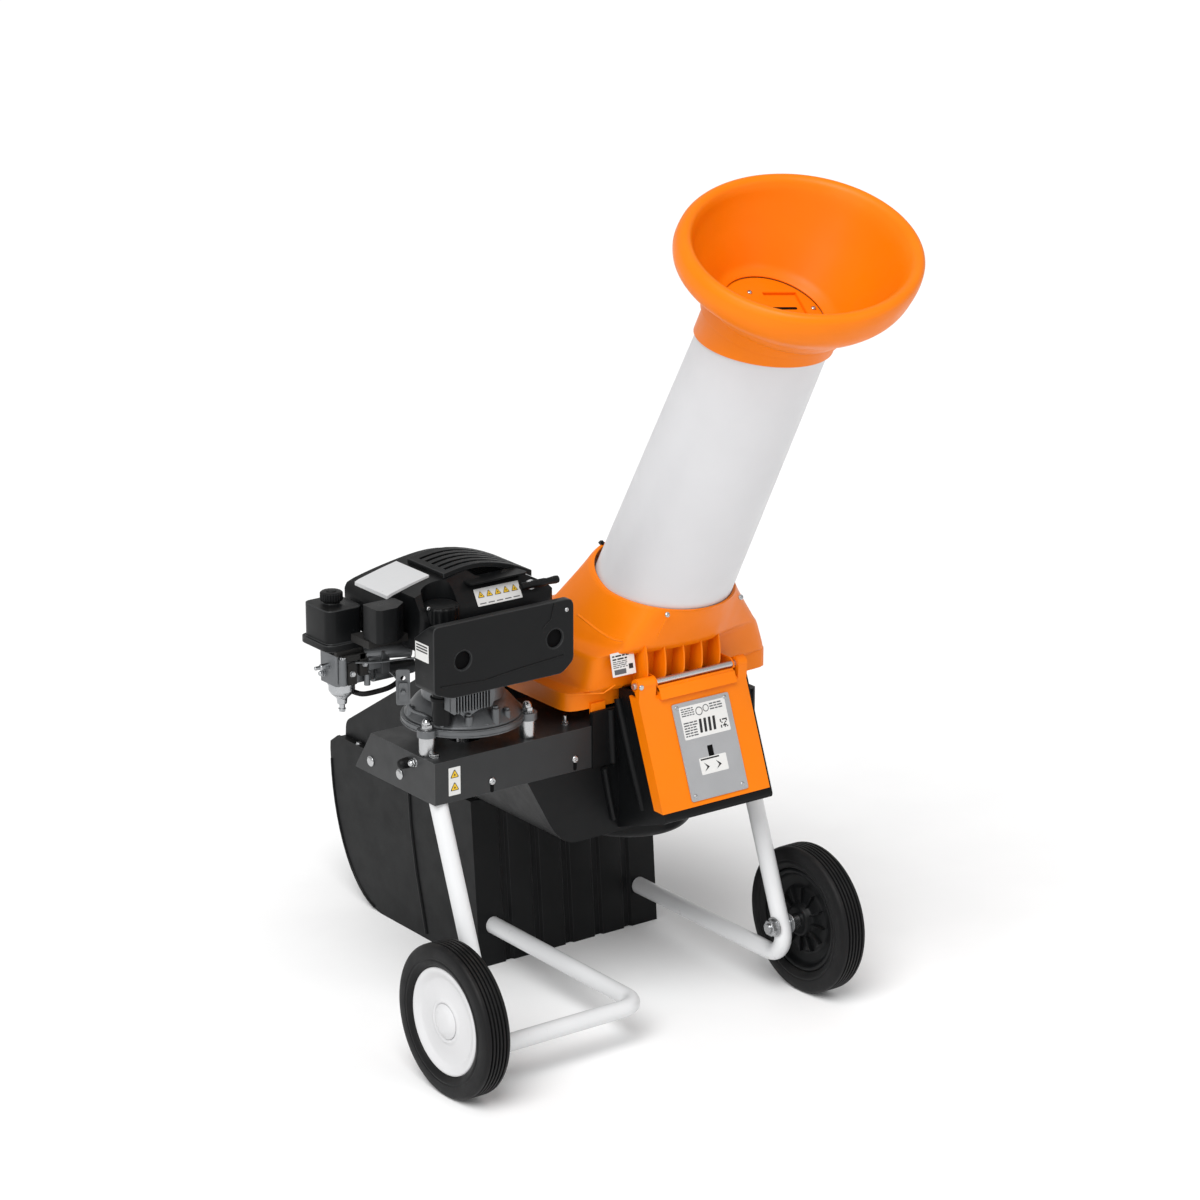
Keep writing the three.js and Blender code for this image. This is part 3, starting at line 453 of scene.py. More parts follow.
def from_cad(nodes, look, bevel=1.0, edge=None, sharp=32, body="machine", slot=None):
    """Pieces with a CAD node's own shape, welded, with rolled edges and a second finish there: worn
    paint, machined alloy, or on black plastic a painted highlight.
    """
    for name in nodes.split():
        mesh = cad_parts[name].data.copy()
        mesh.materials.clear()
        cleaned(mesh, flat=True)
        mesh.polygons.foreach_set("material_index", [0] * len(mesh.polygons))
        looks = [look] + ([edge] if edge else [])
        obj = placed(f"{name}_skin", mesh, looks, (name,), body, slot)
        soft_edges(obj, bevel, sharp, 1 if edge else None)


# ---------------- wheels and frame


def tyre_profile(half):
    """Flat sidewalls, rounded shoulders and five grooves round the tread."""
    line = half - 0.8
    shoulder = [(88, 18.7, 1), (91, 21.5, 2), (97, half, 2), (99, half, 0.5), (100, line, 0.5),
                (102, line, 0.5), (103, half, 0.5), (113, half, 4), (121, 22.4, 4),
                (124.2, 19.2, 1.5)]
    grooves = []
    for middle in (13, 6.5, 0, -6.5, -13):
        grooves += [(125, middle + 1.7, 0.5), (121.2, middle + 1.1, 0.4),
                    (121.2, middle - 1.1, 0.4), (125, middle - 1.7, 0.5)]
    mirrored = [(r, -h, reach) for r, h, reach in reversed(shoulder)]
    return shoulder + grooves + mirrored


def wheel(side, name):
    low, high = box_mm(f"{name}_tyre")
    centre = (low + high) / 2
    half = (high.x - low.x) / 2
    place = facing_x(*centre, side)
    body = f"{name}_wheel"
    tyre = Shape("rubber").turned(tyre_profile(half), place, 112)
    piece(f"{name}_tread", tyre, [f"{name}_tyre"], body=body)

    cover = Shape("hub").turned([
        (9, 13), (27, 13, 1), (30, 16.8, 1.5), (33.5, 17.4, 1), (38, 15.2, 3), (58, 13.8, 8),
        (70, 14.4, 4), (75, 17.4, 3), (80, 19.8, 3), (84.5, 20.4, 2), (87.3, 18.8, 1),
        (87.3, 14.9, 0.5), (84, 12.8), (9, 11.9)], place, 96)
    piece(f"{name}_cover", cover, [f"{name}_wheel_disc"], body=body)

    core = Shape("black").turned([
        (8.4, 11.7), (84, 12.6), (87.6, 14.7), (87.6, -17.6, 2), (84, -18.6, 1), (80, -17.6, 2),
        (76, -10, 5), (58, -6.5, 5), (53, -10.5, 3), (40, -11.5, 4), (30, -13, 3), (26, -22.6, 2),
        (22, -half, 1), (8.4, -half)], place, 96)
    for k in range(12):
        spoke = place @ Matrix.Rotation(k * 30 * DEG, 4, "Z")
        core.block((25, -1.1, -17), (56, 1.1, -8), spoke)
    piece(f"{name}_core", core, bevel=0.4, sharp=40, body=body)

    cap = Shape("hub").turned([
        (0, half - 0.1), (9, half - 0.3, 3), (19, 22.6, 4), (26.8, 18.3, 2), (28.4, 17),
        (28.4, 13.3), (0, 13.3)], place, 64)
    piece(f"{name}_cap", cap, [f"{name}_hub_cap"], body=body)
    from_cad(f"{name}_axle_spacer {name}_axle_bolt {name}_axle_nut", "steel", 0.8, "alloy_edge",
             body=body)


def bent(corners, radius, steps=10):
    """A path through corner points with a round bend at each."""
    points = [Vector(p) for p in corners]
    path = [points[0]]
    for before, corner, after in zip(points, points[1:], points[2:]):
        into = (corner - before).normalized()
        out = (after - corner).normalized()
        turn = into.angle(out)
        start = corner - into * radius * math.tan(turn / 2)
        inward = (out - into * into.dot(out)).normalized()
        for k in range(steps + 1):
            angle = turn * k / steps
            path.append(start + into * radius * math.sin(angle)
                        + inward * radius * (1 - math.cos(angle)))
    return path + [points[-1]]


def leg_tubes():
    low, high = box_mm("right_leg_tube")
    radius, wall, bend, wheel_radius, rake = 14.5, 2, 36, 125, 21.04 * DEG
    top = high.z - radius * math.sin(rake)
    leg_x = (low.x + high.x) / 2
    foot = low.z + radius

    def leg_y(z):
        return (z - wheel_radius) * math.tan(rake)

    shin = [(leg_x, leg_y(top), top), (leg_x, leg_y(foot), foot)]
    right = bent(shin + [(leg_x, high.y, foot)], bend)
    mirrored = [(-x, y, z) for x, y, z in shin]
    inner_x = box_mm("left_leg_tube")[1].x - radius
    left = bent(mirrored + [(inner_x, leg_y(foot), foot), (inner_x, high.y, foot)], bend)
    for name, path in (("right", right), ("left", left)):
        tube = Shape("tube").tube(path, radius, radius - wall, 48)
        piece(f"{name}_frame_tube", tube, [f"{name}_leg_tube"], 0.6)
    collars = Shape("steel")
    thick = 1.6
    for side in (-1, 1):
        for offset in (radius, -radius - thick):
            washer = facing_x(side * (leg_x + offset), 0, wheel_radius)
            collars.turned(drum(17, 0, thick, 0.4, 9.2), washer, 40)
    piece("leg_washers", collars)


# ---------------- base plate


def base_plate():
    from_cad("base_plate chamber_wall", "plate", 1.2, "plate_edge")
    left = box_mm("base_plate")[0].x
    top = box_mm("engine_standoff_1")[0].z - 0.3
    fixings = Shape("steel")
    for y, z in ((282.8, 461), (199.3, 463.7)):
        fixings.turned([(0, 0), (9, 0, 0.5), (9, 1.4, 0.8), (6, 3.6, 1.5), (0, 3.9)],
                       facing_x(left, y, z, -1), 40)
    fixings.acorn(facing_x(left, 155.9, 496, -1), 6.5, 12)
    for x, z in ((-208.7, 457.7), (-47.9, 460)):
        fixings.screw(facing_front(x, 101, z), 6.2)
    for x, y in ((-43.4, 134.2), (23.4, 139.1)):
        fixings.hex_head(frame_at(x, y, top), 5.5, 5)
        fixings.turned([(0, 5), (3, 5), (3, 14.5, 0.6), (0, 15)], frame_at(x, y, top), 24)
    for x, y in ((-298, 128), (-298, 160), (298, 128), (298, 160)):
        fixings.hex_head(frame_at(x, y, top), 7, 5.5)
    piece("plate_fixings", fixings, bevel=0.25)
    # Near-black patches on the flange's slots: painted shade in the slots.
    slots = Shape("void")
    for x, z in ((-208.7, 450), (-47.9, 452)):
        slots.plate([rectangle(x - 3.2, x + 3.2, z - 11, z + 5, 3)], -0.15, 0.5,
                    facing_front(0, 101, 0))
    piece("plate_slots", slots, slot="grey_paint")
    stub = Shape("rubber").turned([(0, 0), (9, 0, 1), (8, 12, 2), (5, 17, 2), (0, 18)],
                                  facing_x(left, 178, 489, -1), 32)
    piece("rubber_stub", stub)


def warning_label(shape, place, width, height, marks, tall=False):
    """A white label carrying generic yellow triangles, with a printed line under them."""
    sheet = rectangle(-width / 2, width / 2, -height / 2, height / 2, 1)
    shape.use("paper").plate([sheet], 0, 0.45, place)
    for k in range(marks):
        share = (k + 0.5) / marks - 0.5
        u, v = (0, -share * height * 0.92) if tall else (share * width * 0.94, height * 0.1)
        size = 0.44 * (min(width, height / marks) if tall else min(height, width / marks))
        for look, scale, top in (("ink", 1.0, 0.7), ("yellow", 0.78, 0.85), ("ink", 0.24, 1.0)):
            corners = [(u + size * scale * math.cos(a * DEG), v + size * scale * math.sin(a * DEG))
                       for a in (90, 210, 330)]
            shape.use(look).plate([rounded([(*c, size * scale * 0.25) for c in corners], 2)],
                                  0.3, top, place)
        if not tall:
            shape.use("print").block((u - size * 0.8, -height * 0.4, 0.3),
                                     (u + size * 0.8, -height * 0.34, 0.6), place)


def printed_lines(shape, place, u0, u1, v0, v1, rows, look="print"):
    """Rows of short bars of chance lengths, standing for small print."""
    step = (v1 - v0) / rows
    for k in range(rows):
        v = v1 - (k + 0.75) * step
        u = u0
        while u < u1 - 0.12 * (u1 - u0):
            length = chance.uniform(0.12, 0.4) * (u1 - u0)
            end = min(u1, u + length)
            shape.use(look).block((u, v, 0.3), (end, v + step * 0.5, 0.62), place)
            u = end + 0.05 * (u1 - u0)


def plate_label():
    label = Shape("paper")
    warning_label(label, facing_front(-279.6, 101, 473), 22, 46, 2, tall=True)
    piece("plate_warning_label", label, slot="grey_paint")


# ---------------- engine


def engine_block():
    from_cad("crankcase", "alloy", 1.2, "alloy_edge", 30)
    fins = Shape("alloy")
    fins.block((-290, 94, 590), (-222, 111, 626))
    for k in range(13):
        x = -290 + 5.5 * k
        fins.plate([rectangle(82, 96, 589, 626, 2)], x, x + 2, facing_x())
    piece("head_fins", fins, ["cylinder_head"], 0.3)
    low, high = box_mm("engine_standoff_1")
    foot, flange_top = high.z + 0.3, high.z + 12.3
    for k in (1, 2, 3):
        end, _, axis = upright(f"engine_bolt_{k}")
        stand = Shape("steel").turned([
            (4.8, low.z), (13, low.z, 0.8), (13, high.z, 0.6), (4.8, high.z)], axis, 48)
        piece(f"standoff_{k}", stand, [f"engine_standoff_{k}"])
        bolt = Shape("steel").turned([(0, end.z), (4.5, end.z, 0.5), (4.5, flange_top + 1),
                                      (0, flange_top + 1)], axis, 24)
        bolt.acorn(axis @ Matrix.Translation((0, 0, flange_top)), 9.2, 17)
        piece(f"bolt_{k}", bolt, [f"engine_bolt_{k}"], 0.3)
    x, y, _ = middle_mm("crankshaft")
    axis = frame_at(x, y, 0)
    trim = Shape("alloy")
    for height in (flange_top - 3.2, foot + 1.2):
        trim.turned(drum(98.9, height, height + 1.6, 0.5, 96), axis, 96)
    sump = Shape("alloy").turned([
        (58, flange_top), (93.5, flange_top, 1), (93, flange_top + 3, 2), (73, flange_top + 28, 12),
        (58, flange_top + 33)], axis, 96)
    piece("sump_slope", sump, bevel=0.5)
    for angle, radius, tall in ((-146, 86, 26), (-118, 84, 20), (-88, 86, 28), (-70, 84, 18),
                                (165, 86, 16), (60, 84, 14)):
        spot = frame_at(x + radius * math.cos(angle * DEG), y + radius * math.sin(angle * DEG),
                        flange_top)
        trim.turned([(0, 0), (7.5, 0), (6.6, tall, 1), (0, tall)], spot, 28)
        trim.hex_head(spot @ Matrix.Translation((0, 0, tall)), 4.6, 4)
    piece("sump_posts", trim, bevel=0.3)


def exhaust():
    # The cover's rolled edges are in the lighter black: a painted highlight.
    from_cad("exhaust_cover", "gloss", 3.0, "black_edge", 38)
    # The silencer is in darkened steel: painted shade inside the exhaust holes.
    from_cad("exhaust_silencer", "soot", 2.0)
    front = box_mm("exhaust_cover")[0].y
    # Each hole gets a ring in the lighter black, a painted highlight on its rim, and a near-black
    # disc inside, painted shade in the hole.
    rims = Shape("black_edge")
    for x, z in ((-299, 690), (-126.5, 692)):
        rims.turned([(15, -4), (16, -4), (16, 0.3, 0.2), (15.4, 0.4, 0.2), (15, -0.4)],
                    facing_front(x, front, z), 64)
        rims.use("void").turned(drum(17, -7, -6), facing_front(x, front, z))
        rims.use("black_edge")
    piece("exhaust_rims", rims)
    details = Shape("gloss")
    crease = [(-340, 655), (-260, 650), (-200, 656), (-110, 662)]
    details.tube([(x, front - 0.2, z) for x, z in crease], 1.1, segments=12)
    details.tube([(x, front - 0.2, z) for x, z in ((-128, 750), (-134, 725), (-150, 712))],
                 0.8, segments=12)
    piece("exhaust_creases", details)
    heat_screws = Shape("steel")
    heat_screws.screw(facing_front(-104, front, 735), 3.6)
    piece("exhaust_screws", heat_screws)


def shroud():
    from_cad("blower_shroud", "gloss", 3.5, None, 30)
    from_cad("trim_panel", "trim", 1.3)
    # The grille's rolled edges are in the lighter black: a painted highlight.
    from_cad("intake_grille", "black", 1.0, "black_edge")
    low, high = box_mm("intake_grille")
    # The net and the disc under the grille are near black: painted shade inside the intake.
    net = Shape("void")
    for k in range(12):
        x = low.x + 14 + k * (high.x - low.x - 28) / 11
        net.tube([(x, low.y + 6, 771), (x, high.y - 6, 771)], 1.3, segments=8)
    net.turned(drum(62, 762, 764), frame_at(-180, 205, 0), 48)
    piece("grille_net", net, slot="black_plastic")
    lip = Shape("gloss").plate([[(-57, -83, 12), (57, -83, 12), (50, -49, 4), (-50, -49, 4)]],
                               778, 781, frame_at(-178, 203, 0))
    piece("grille_lip", lip, bevel=1)
    fit = Shape("steel")
    fit.screw(facing_front(-312.5, 118, 757), 3.4)
    piece("shroud_screw", fit)


def shroud_labels():
    label = Shape("paper")
    slope = frame_at(-178, 124.6, 754.5, (0, -0.866, 0.5), (1, 0, 0))
    warning_label(label, slope, 84, 28, 5)
    piece("shroud_warning_label", label, slot="black_plastic")
    mark = Shape("paper")
    side = facing_x(-353.2, 76, 706, -1)
    mark.plate([rectangle(-18, 18, -14, 14, 1)], 0, 0.5, side)
    for v in (9, 4.5, 0):
        mark.use("ink").block((-15, v, 0.3), (15, v + 2.2, 0.75), side)
    piece("shroud_mark", mark, slot="black_plastic")


def oil_filler():
    low, high, axis = upright("oil_cap")
    base, top, radius = low.z + 4, high.z + 10, (high.x - low.x) / 2 + 2.4
    cap = Shape("black").turned([
        (0, base), (radius - 3, base, 1), (radius, base + 3, 1), (radius, top - 6, 1.5),
        (radius - 3, top - 2, 2), (radius - 7, top - 1.5, 1), (radius - 9, top, 2), (0, top)],
        axis, ribs=(16, 1.6))
    cap.turned(drum(radius - 7, low.z, base + 1), axis)
    piece("oil_cap_grip", cap, ["oil_cap"], 0.5, body="oil_cap")
    low, high = box_mm("oil_filler_neck")
    neck = Shape("black").turned([
        (9, low.z), (15, low.z), (15, high.z - 12, 3), (19, high.z - 7, 2), (19, high.z, 1),
        (9, high.z)], axis, 48)
    neck.turned([(15, 600), (18, 601, 0.5), (18, 606, 0.5), (15, 607)], axis, 48)
    piece("oil_neck", neck, ["oil_filler_neck"])


def fuel_system():
    # The tank's rolled edges are in the lighter black: a painted highlight.
    from_cad("fuel_tank", "gloss", 4.5, "black_edge", 30)
    low, high = box_mm("air_cleaner")
    plan = [(low.x, low.y + 6, 3), (low.x + 6, low.y, 3), (high.x - 24, low.y, 1.5),
            (high.x, low.y + 19, 1.5), (high.x, high.y, 4), (low.x, high.y, 4)]
    cleaner = Shape("gloss").plate([plan], low.z, high.z + 3)
    piece("air_cleaner_box", cleaner, ["air_cleaner"], 2.5)
    low, high, axis = upright("fuel_cap")
    cap = Shape("black").turned([
        (0, low.z), (17, low.z, 1), (18, low.z + 2, 0.5), (18, high.z - 3, 1),
        (15.5, high.z - 1, 2), (0, high.z)], axis, ribs=(26, 1.0))
    cap.turned([(0, high.z - 1), (9, high.z - 1), (8, high.z + 0.8, 1), (0, high.z + 1.2)],
               axis, 40)
    piece("fuel_cap_grip", cap, ["fuel_cap"], 0.3, body="fuel_cap")


def carburettor():
    from_cad("carburettor", "alloy", 1.8, "alloy_edge", 30)
    bowl = Shape("alloy_edge")
    spot = frame_at(-398, 236, 0)
    bowl.turned([(0, 579), (4.5, 579, 1), (4.5, 587, 0.5), (7.6, 588, 1), (8.6, 597, 2),
                 (18.8, 607, 3), (20.9, 611, 1), (20.9, 627, 1), (0, 627.5)], spot, 56)
    bowl.turned(drum(22.6, 621, 625, 0.5, 20.5), spot, 56)
    bowl.hex_head(frame_at(-398, 236, 580, (0, 0, -1)), 5.6, 5)
    bowl.screw(facing_front(-414, 210, 668), 4.2)
    bowl.screw(facing_front(-366, 210, 640), 4.2)
    bowl.turned([(0, 0), (5, 0), (5, 14, 1), (3, 15), (3, 24, 1), (0, 25)],
                facing_x(-424, 234, 655, -1), 32)
    bowl.acorn(facing_x(-424, 247, 640, -1), 5, 9)
    piece("float_bowl", bowl, bevel=0.3)
    detail = Shape("soot").block((-408, 201, 628), (-392, 207.5, 664))
    detail.block((-386, 200, 640), (-371, 207.5, 676))
    detail.plate([rectangle(-22, 22, -5, 5, 3)], 0, 4, frame_at(-398, 204, 672, (0, -1, 0)))
    detail.block((-424, 208, 676), (-360, 256, 683.5))
    detail.block((-402, 150, 700), (-330, 200, 712))
    detail.use("alloy").tube([(-372, 214, 672), (-344, 204, 674), (-300, 190, 672)], 14,
                             segments=32)
    detail.tube([(-416, 203, 630), (-416, 203, 672)], 6.5, segments=24)
    detail.tube([(-372, 203, 622), (-372, 203, 640)], 5, segments=24)
    detail.use("alloy_edge").hex_head(frame_at(-416, 203, 672), 5, 4)
    detail.hex_head(facing_front(-400, 201, 646), 4.5, 4)
    detail.hex_head(facing_front(-378, 200, 658), 3.6, 4)
    piece("carburettor_parts", detail, bevel=0.5, slot="cast_alloy")
    hose = Shape("rubber").tube(smooth_path([
        (-386, 226, 608), (-376, 210, 606), (-352, 205, 607), (-330, 201, 611), (-312, 204, 618),
        (-300, 212, 628)]), 4.2, segments=20)
    piece("fuel_hose", hose)


def throttle_linkage():
    rods = Shape("alloy")
    rods.tube(smooth_path([(-408, 206, 664), (-386, 200, 662), (-358, 190, 660), (-326, 176, 662),
                           (-300, 160, 664)]), 1.6, segments=12)
    rods.tube(smooth_path([(-352, 204, 650), (-338, 192, 640), (-326, 184, 622),
                           (-318, 178, 590)]), 1.5, segments=12)
    rods.block((-372, 196, 648), (-344, 207, 668))
    rods.block((-352, 190, 640), (-338, 207, 676))
    facing = ((-0.5, -0.85, 0), (0.85, -0.5, 0))
    bracket = frame_at(-334, 160, 628, *facing)
    rods.plate([rectangle(-11, 11, -34, 24, 4), circle(0, 10, 4, 20)], 0, 3, bracket)
    rods.plate([rectangle(-7, 7, -26, 4, 3)], 3, 9, bracket)
    rods.hex_head(frame_at(-336, 157, 618, *facing), 4.5, 12)
    rods.tube(smooth_path([
        (-326, 166, 600), (-318, 160, 582), (-300, 150, 572), (-284, 150, 560)]), 3.2, segments=14)
    piece("throttle_linkage", rods, bevel=0.2)


def smooth_path(corners, steps=8):
    """A smooth line through the given points."""
    points = [Vector(p) for p in corners]
    ends = [points[0] * 2 - points[1], *points, points[-1] * 2 - points[-2]]
    path = []
    for a, b, c, d in zip(ends, ends[1:], ends[2:], ends[3:]):
        for k in range(steps):
            t = k / steps
            path.append(0.5 * (2 * b + (c - a) * t + (2 * a - 5 * b + 4 * c - d) * t * t
                               + (3 * b - a - 3 * c + d) * t ** 3))
    return path + [points[-1]]


def starter():
    low, high = box_mm("start_handle")
    middle = (low + high) / 2
    grip = Shape("black")
    length = (high.x - low.x) / 2
    rings = []
    for share in (-1, -0.97, -0.85, -0.4, -0.25, 0.25, 0.4, 0.85, 0.97, 1):
        size = 0.62 if abs(share) == 1 else 0.9 if abs(share) > 0.9 else 1.0
        size *= 0.82 if 0.3 < abs(share) < 0.5 else 1.0
        rings.append([(share * length, 6.4 * size * math.cos(a * DEG),
                       6.4 * size * math.sin(a * DEG)) for a in range(0, 360, 15)])
    grip.skin(rings, frame_at(*middle))
    pull = Vector((0, -0.93969, 0.34202))
    grip.turned([(0, 0), (5.2, 0, 1), (6.2, 10, 1), (0, 10)],
                frame_at(*(middle - pull * 9), -pull), 32)
    piece("starter_grip", grip, ["start_handle"], body="start_handle")
    exit_point = middle - pull * 26
    eye = Shape("trim").turned([(3.4, -3, 1), (8, -3, 1), (8, 3, 1), (3.4, 3, 1)],
                               frame_at(*exit_point, pull), 40)
    piece("starter_eyelet", eye, slot="zinc_steel")
    rope = Shape("belt").tube([exit_point.lerp(middle, k / 24) for k in range(25)], 2.1,
                              segments=14)
    obj = linked("starter_rope", mesh_from("starter_rope", rope))
    obj.data.materials.append(LOOKS["belt"])
    soft_edges(obj, 0, 50)
    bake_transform(obj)


def drive():
    from_cad("crankshaft flywheel crank_pulley", "steel", 0.6, "alloy_edge", body="crank")
    from_cad("cutter_shaft cutter_pulley knife_disc knife_nut knife_1 knife_2", "steel", 0.6,
             "alloy_edge", body="cutter")
    from_cad("bearing_housing", "alloy", 1.2, "alloy_edge")
    from_cad("drive_belt", "belt", 0.8)


# ---------------- lower housing and front


def lower_housing():
    from_cad("lower_housing", "black", 3.0, None, 44)
    low, high, axis = upright("bottom_pan")
    radius = (high.x - low.x) / 2
    pan = Shape("black").turned([
        (0, low.z), (60, low.z, 4), (64, low.z + 3, 2), (88, low.z + 3, 2), (98, low.z + 4, 6),
        (107, low.z + 14, 6), (107, high.z - 6, 2), (radius, high.z - 5, 0.6), (radius, high.z),
        (103, high.z), (103, low.z + 15, 5), (95, low.z + 8, 4), (0, low.z + 5)],
        axis, 96)
    for k in range(8):
        spot = axis @ Matrix.Rotation((k * 45 + 20) * DEG, 4, "Z")
        pan.turned([(0, high.z - 9), (4.5, high.z - 9, 1), (4.5, high.z - 4), (0, high.z - 4)],
                   spot @ Matrix.Translation((radius - 5, 0, 0)), 20)
    piece("cutter_pan", pan, ["bottom_pan"])
    ribs = Shape("black")
    ribs.tube([(36, 100, 545), (38, 62, 440), (42, 38, 372)], 6.5, segments=24)
    ribs.tube([(7.4, 97, 434), (16, 97.6, 390), (27.5, 99, 342)], 5.5, segments=24)
    cheek = [(-15, 438), (39, 438), (39, 532), (-15, 532, 4)]
    ribs.plate([cheek], -106, -98, facing_front())
    ribs.tube([(22, 101, 530), (24, 99, 470), (26, 99, 440)], 7, segments=24)
    piece("housing_ridges", ribs)


def front_cover():
    from_cad("front_cover", "orange", 3.2, None, 30)
    low, high = box_mm("hinge_rod")
    _, y, z = middle_mm("hinge_rod")
    start, radius = low.x + 3, 5
    rod = Shape("rod").turned(drum(radius, 0, high.x - start, 0.6), facing_x(start, y, z), 40)
    piece("hopper_rod", rod, ["hinge_rod"])
    ledge = Shape("orange").plate([[(31, 554), (60, 554), (60, 572, 2), (38, 572, 2)]],
                                  72, 224, facing_x())
    ledge.plate([[(36, 566), (42, 566), (45, 574.5), (43, 574.5)]], 72, 224, facing_x())
    piece("cover_ledge", ledge, bevel=0.6)


def data_plate():
    """The riveted plate, with bars, rings and chance squares in place of its printing."""
    low, high = box_mm("data_plate")
    lean = Vector((0, math.tan(21 * DEG), 1)).normalized()
    out = Vector((0, -lean.z, lean.y))
    width, height = high.x - low.x, (high.z - low.z) / lean.z
    corner = Vector((low.x, low.y - 0.3, low.z))
    place = frame_at(*corner, out, (1, 0, 0))
    slot_low, slot_high = (446 - low.z) / lean.z, (470 - low.z) / lean.z
    slot = rectangle(51, 62, slot_low, slot_high, 1.5)
    plate = Shape("sheet").plate([rectangle(0, width, 0, height, 4), slot], -1.5, 0.3, place)
    piece("data_sheet", plate, ["data_plate"], 0.3)
    marks = Shape("print")
    # A near-black sheet behind the slot: painted shade in the recess.
    marks.use("void").plate([rectangle(50, 63, slot_low - 1, slot_high + 1, 1.5)], -1.4, -0.9,
                            place)
    marks.use("paper").plate([rectangle(12, 104, height * 0.62, height * 0.955, 2)], 0.1, 0.5,
                             place)
    printed_lines(marks, place, 15, 40, height * 0.85, height * 0.94, 4)
    printed_lines(marks, place, 15, 42, height * 0.64, height * 0.80, 6)
    printed_lines(marks, place, 72, 100, height * 0.86, height * 0.94, 3)
    for u, v, size in ((50, 0.88, 7), (64, 0.895, 6)):
        loops = [circle(u, height * v, radius, 28) for radius in (size, size - 1.4)]
        marks.use("print").plate(loops, 0.3, 0.7, place)
    for k in range(4):
        u, foot, head = 44 + 9 * k, height * 0.66, height * 0.80
        leaning = [(u, foot, 1), (u + 5, foot, 1), (u + 7, head, 1), (u + 2, head, 1)]
        marks.use("ink").plate([leaning], 0.3, 0.7, place)
    for row in range(6):
        for column in range(6):
            if chance.random() < 0.55:
                u, v = 86 + 2.4 * column, height * 0.66 + 2.4 * row
                marks.use("ink").block((u, v, 0.3), (u + 2.2, v + 2.2, 0.7), place)
    marks.use("paper").plate([rectangle(30, 84, height * 0.24, height * 0.41, 2)], 0.1, 0.5,
                             place)
    marks.use("ink").block((33, height * 0.385, 0.3), (70, height * 0.4, 0.7), place)
    for u in (42, 66):
        arrow = [(u - 5, height * 0.27), (u + 1, height * 0.31), (u - 4, height * 0.36),
                 (u + 6, height * 0.31)]
        marks.use("ink").plate([arrow], 0.3, 0.7, place)
    piece("data_marks", marks, slot="plate_aluminium")
    rivets = Shape("steel")
    for u, v in ((9, 8), (width - 10, 9), (9, height - 7), (width - 9, height - 7)):
        rivets.turned([(0, 0.2), (3.6, 0.2), (3.2, 1.4, 0.8), (1.4, 2, 0.4), (0, 1.6)],
                      place @ Matrix.Translation((u, v, 0)), 28)
    piece("data_rivets", rivets)


def ear_rivet():
    rivet = Shape("steel").turned([(0, 0), (4.6, 0, 0.4), (4.2, 1.6, 0.8), (0, 2)],
                                  facing_front(37, 38.6, 580), 32)
    piece("ear_rivet", rivet)


# ---------------- hopper

CUT_LEAN = math.tan(10 * DEG)
SIDE_CURVE = 1.45
RIM = {"x": 148, "y": 128, "z": 720, "half_x": 114, "half_y": 119, "back_slope": 0.33}
SKIRT = {"y": 256, "half_x": 205, "half_y": 148, "bottom": 536, "top": 566, "wall": 4.5}
FEED = {"lean": 29.26 * DEG, "y": 82.9, "z": 800, "radius": 107.1, "taper": 0.0179}


def hood_ring(inward, up, inset, drop=0, count=144):
    """One level of the hood between its square skirt and its oval rim."""
    ring = []
    for k in range(count):
        turn = 2 * math.pi * k / count
        across, along = math.cos(turn), math.sin(turn)
        spread = (abs(across) ** 16 + abs(along) ** 16) ** (-1 / 16)
        low = Vector((RIM["x"] + (SKIRT["half_x"] - inset) * spread * across,
                      SKIRT["y"] + (SKIRT["half_y"] - inset) * spread * along, SKIRT["top"]))
        share = min(1, max(0, (across - 0.3) / 0.5)) if up > 0 else 0
        reach = inward + (up ** SIDE_CURVE - inward) * share
        high_y = RIM["y"] + (RIM["half_y"] - inset) * along
        slope = RIM["back_slope"] if high_y > RIM["y"] else CUT_LEAN
        high = Vector((RIM["x"] + (RIM["half_x"] - inset) * across, high_y,
                       RIM["z"] + slope * (high_y - RIM["y"])))
        point = low.lerp(high, reach)
        point.z = low.z + (high.z - low.z) * up - drop
        ring.append(point)
    return ring


def hood():
    levels = rounded([(-1, 0), (0, 0, 0.03), (0.25, 0.02, 0.05), (0.325, 0.42, 0.07),
                      (0.62, 0.49, 0.08), (0.97, 0.98, 0.02), (1, 1)], 5)[1:-1]
    wall = SKIRT["wall"]
    outer = [hood_ring(max(0, i), u, 0) for i, u in levels] + [hood_ring(1, 1, 0)]
    inner = [hood_ring(1, 1, wall)] + [hood_ring(max(0, i), u, wall, wall)
                                       for i, u in reversed(levels)]
    foot_drop = SKIRT["top"] - SKIRT["bottom"]
    skirt_out = hood_ring(0, 0, 0, foot_drop)
    skirt_in = hood_ring(0, 0, wall, foot_drop)
    shell = Shape("orange")
    shell.skin([skirt_out, hood_ring(0, 0, 0, 4), *outer, *inner, skirt_in], closed=True)
    for x in (57, 93, 130, 166, 202):
        fin = [(54, 640, 3), (86, 640), (86, 572), (64, 572, 6), (49, 584, 14), (48, 612, 16)]
        shell.plate([fin], x - 1.3, x + 1.3, facing_x())
    for x0, x1 in ((70, 73), (225, 228)):
        lug = [(41.5, 575, 5), (49, 571.5, 5), (92, 571.5), (92, 590), (49, 589, 7)]
        shell.plate([lug, circle(49, 580, 5.4, 28)], x0, x1, facing_x())
    piece("hood_shell", shell, ["hood"], 0.7, 38, body="hopper")


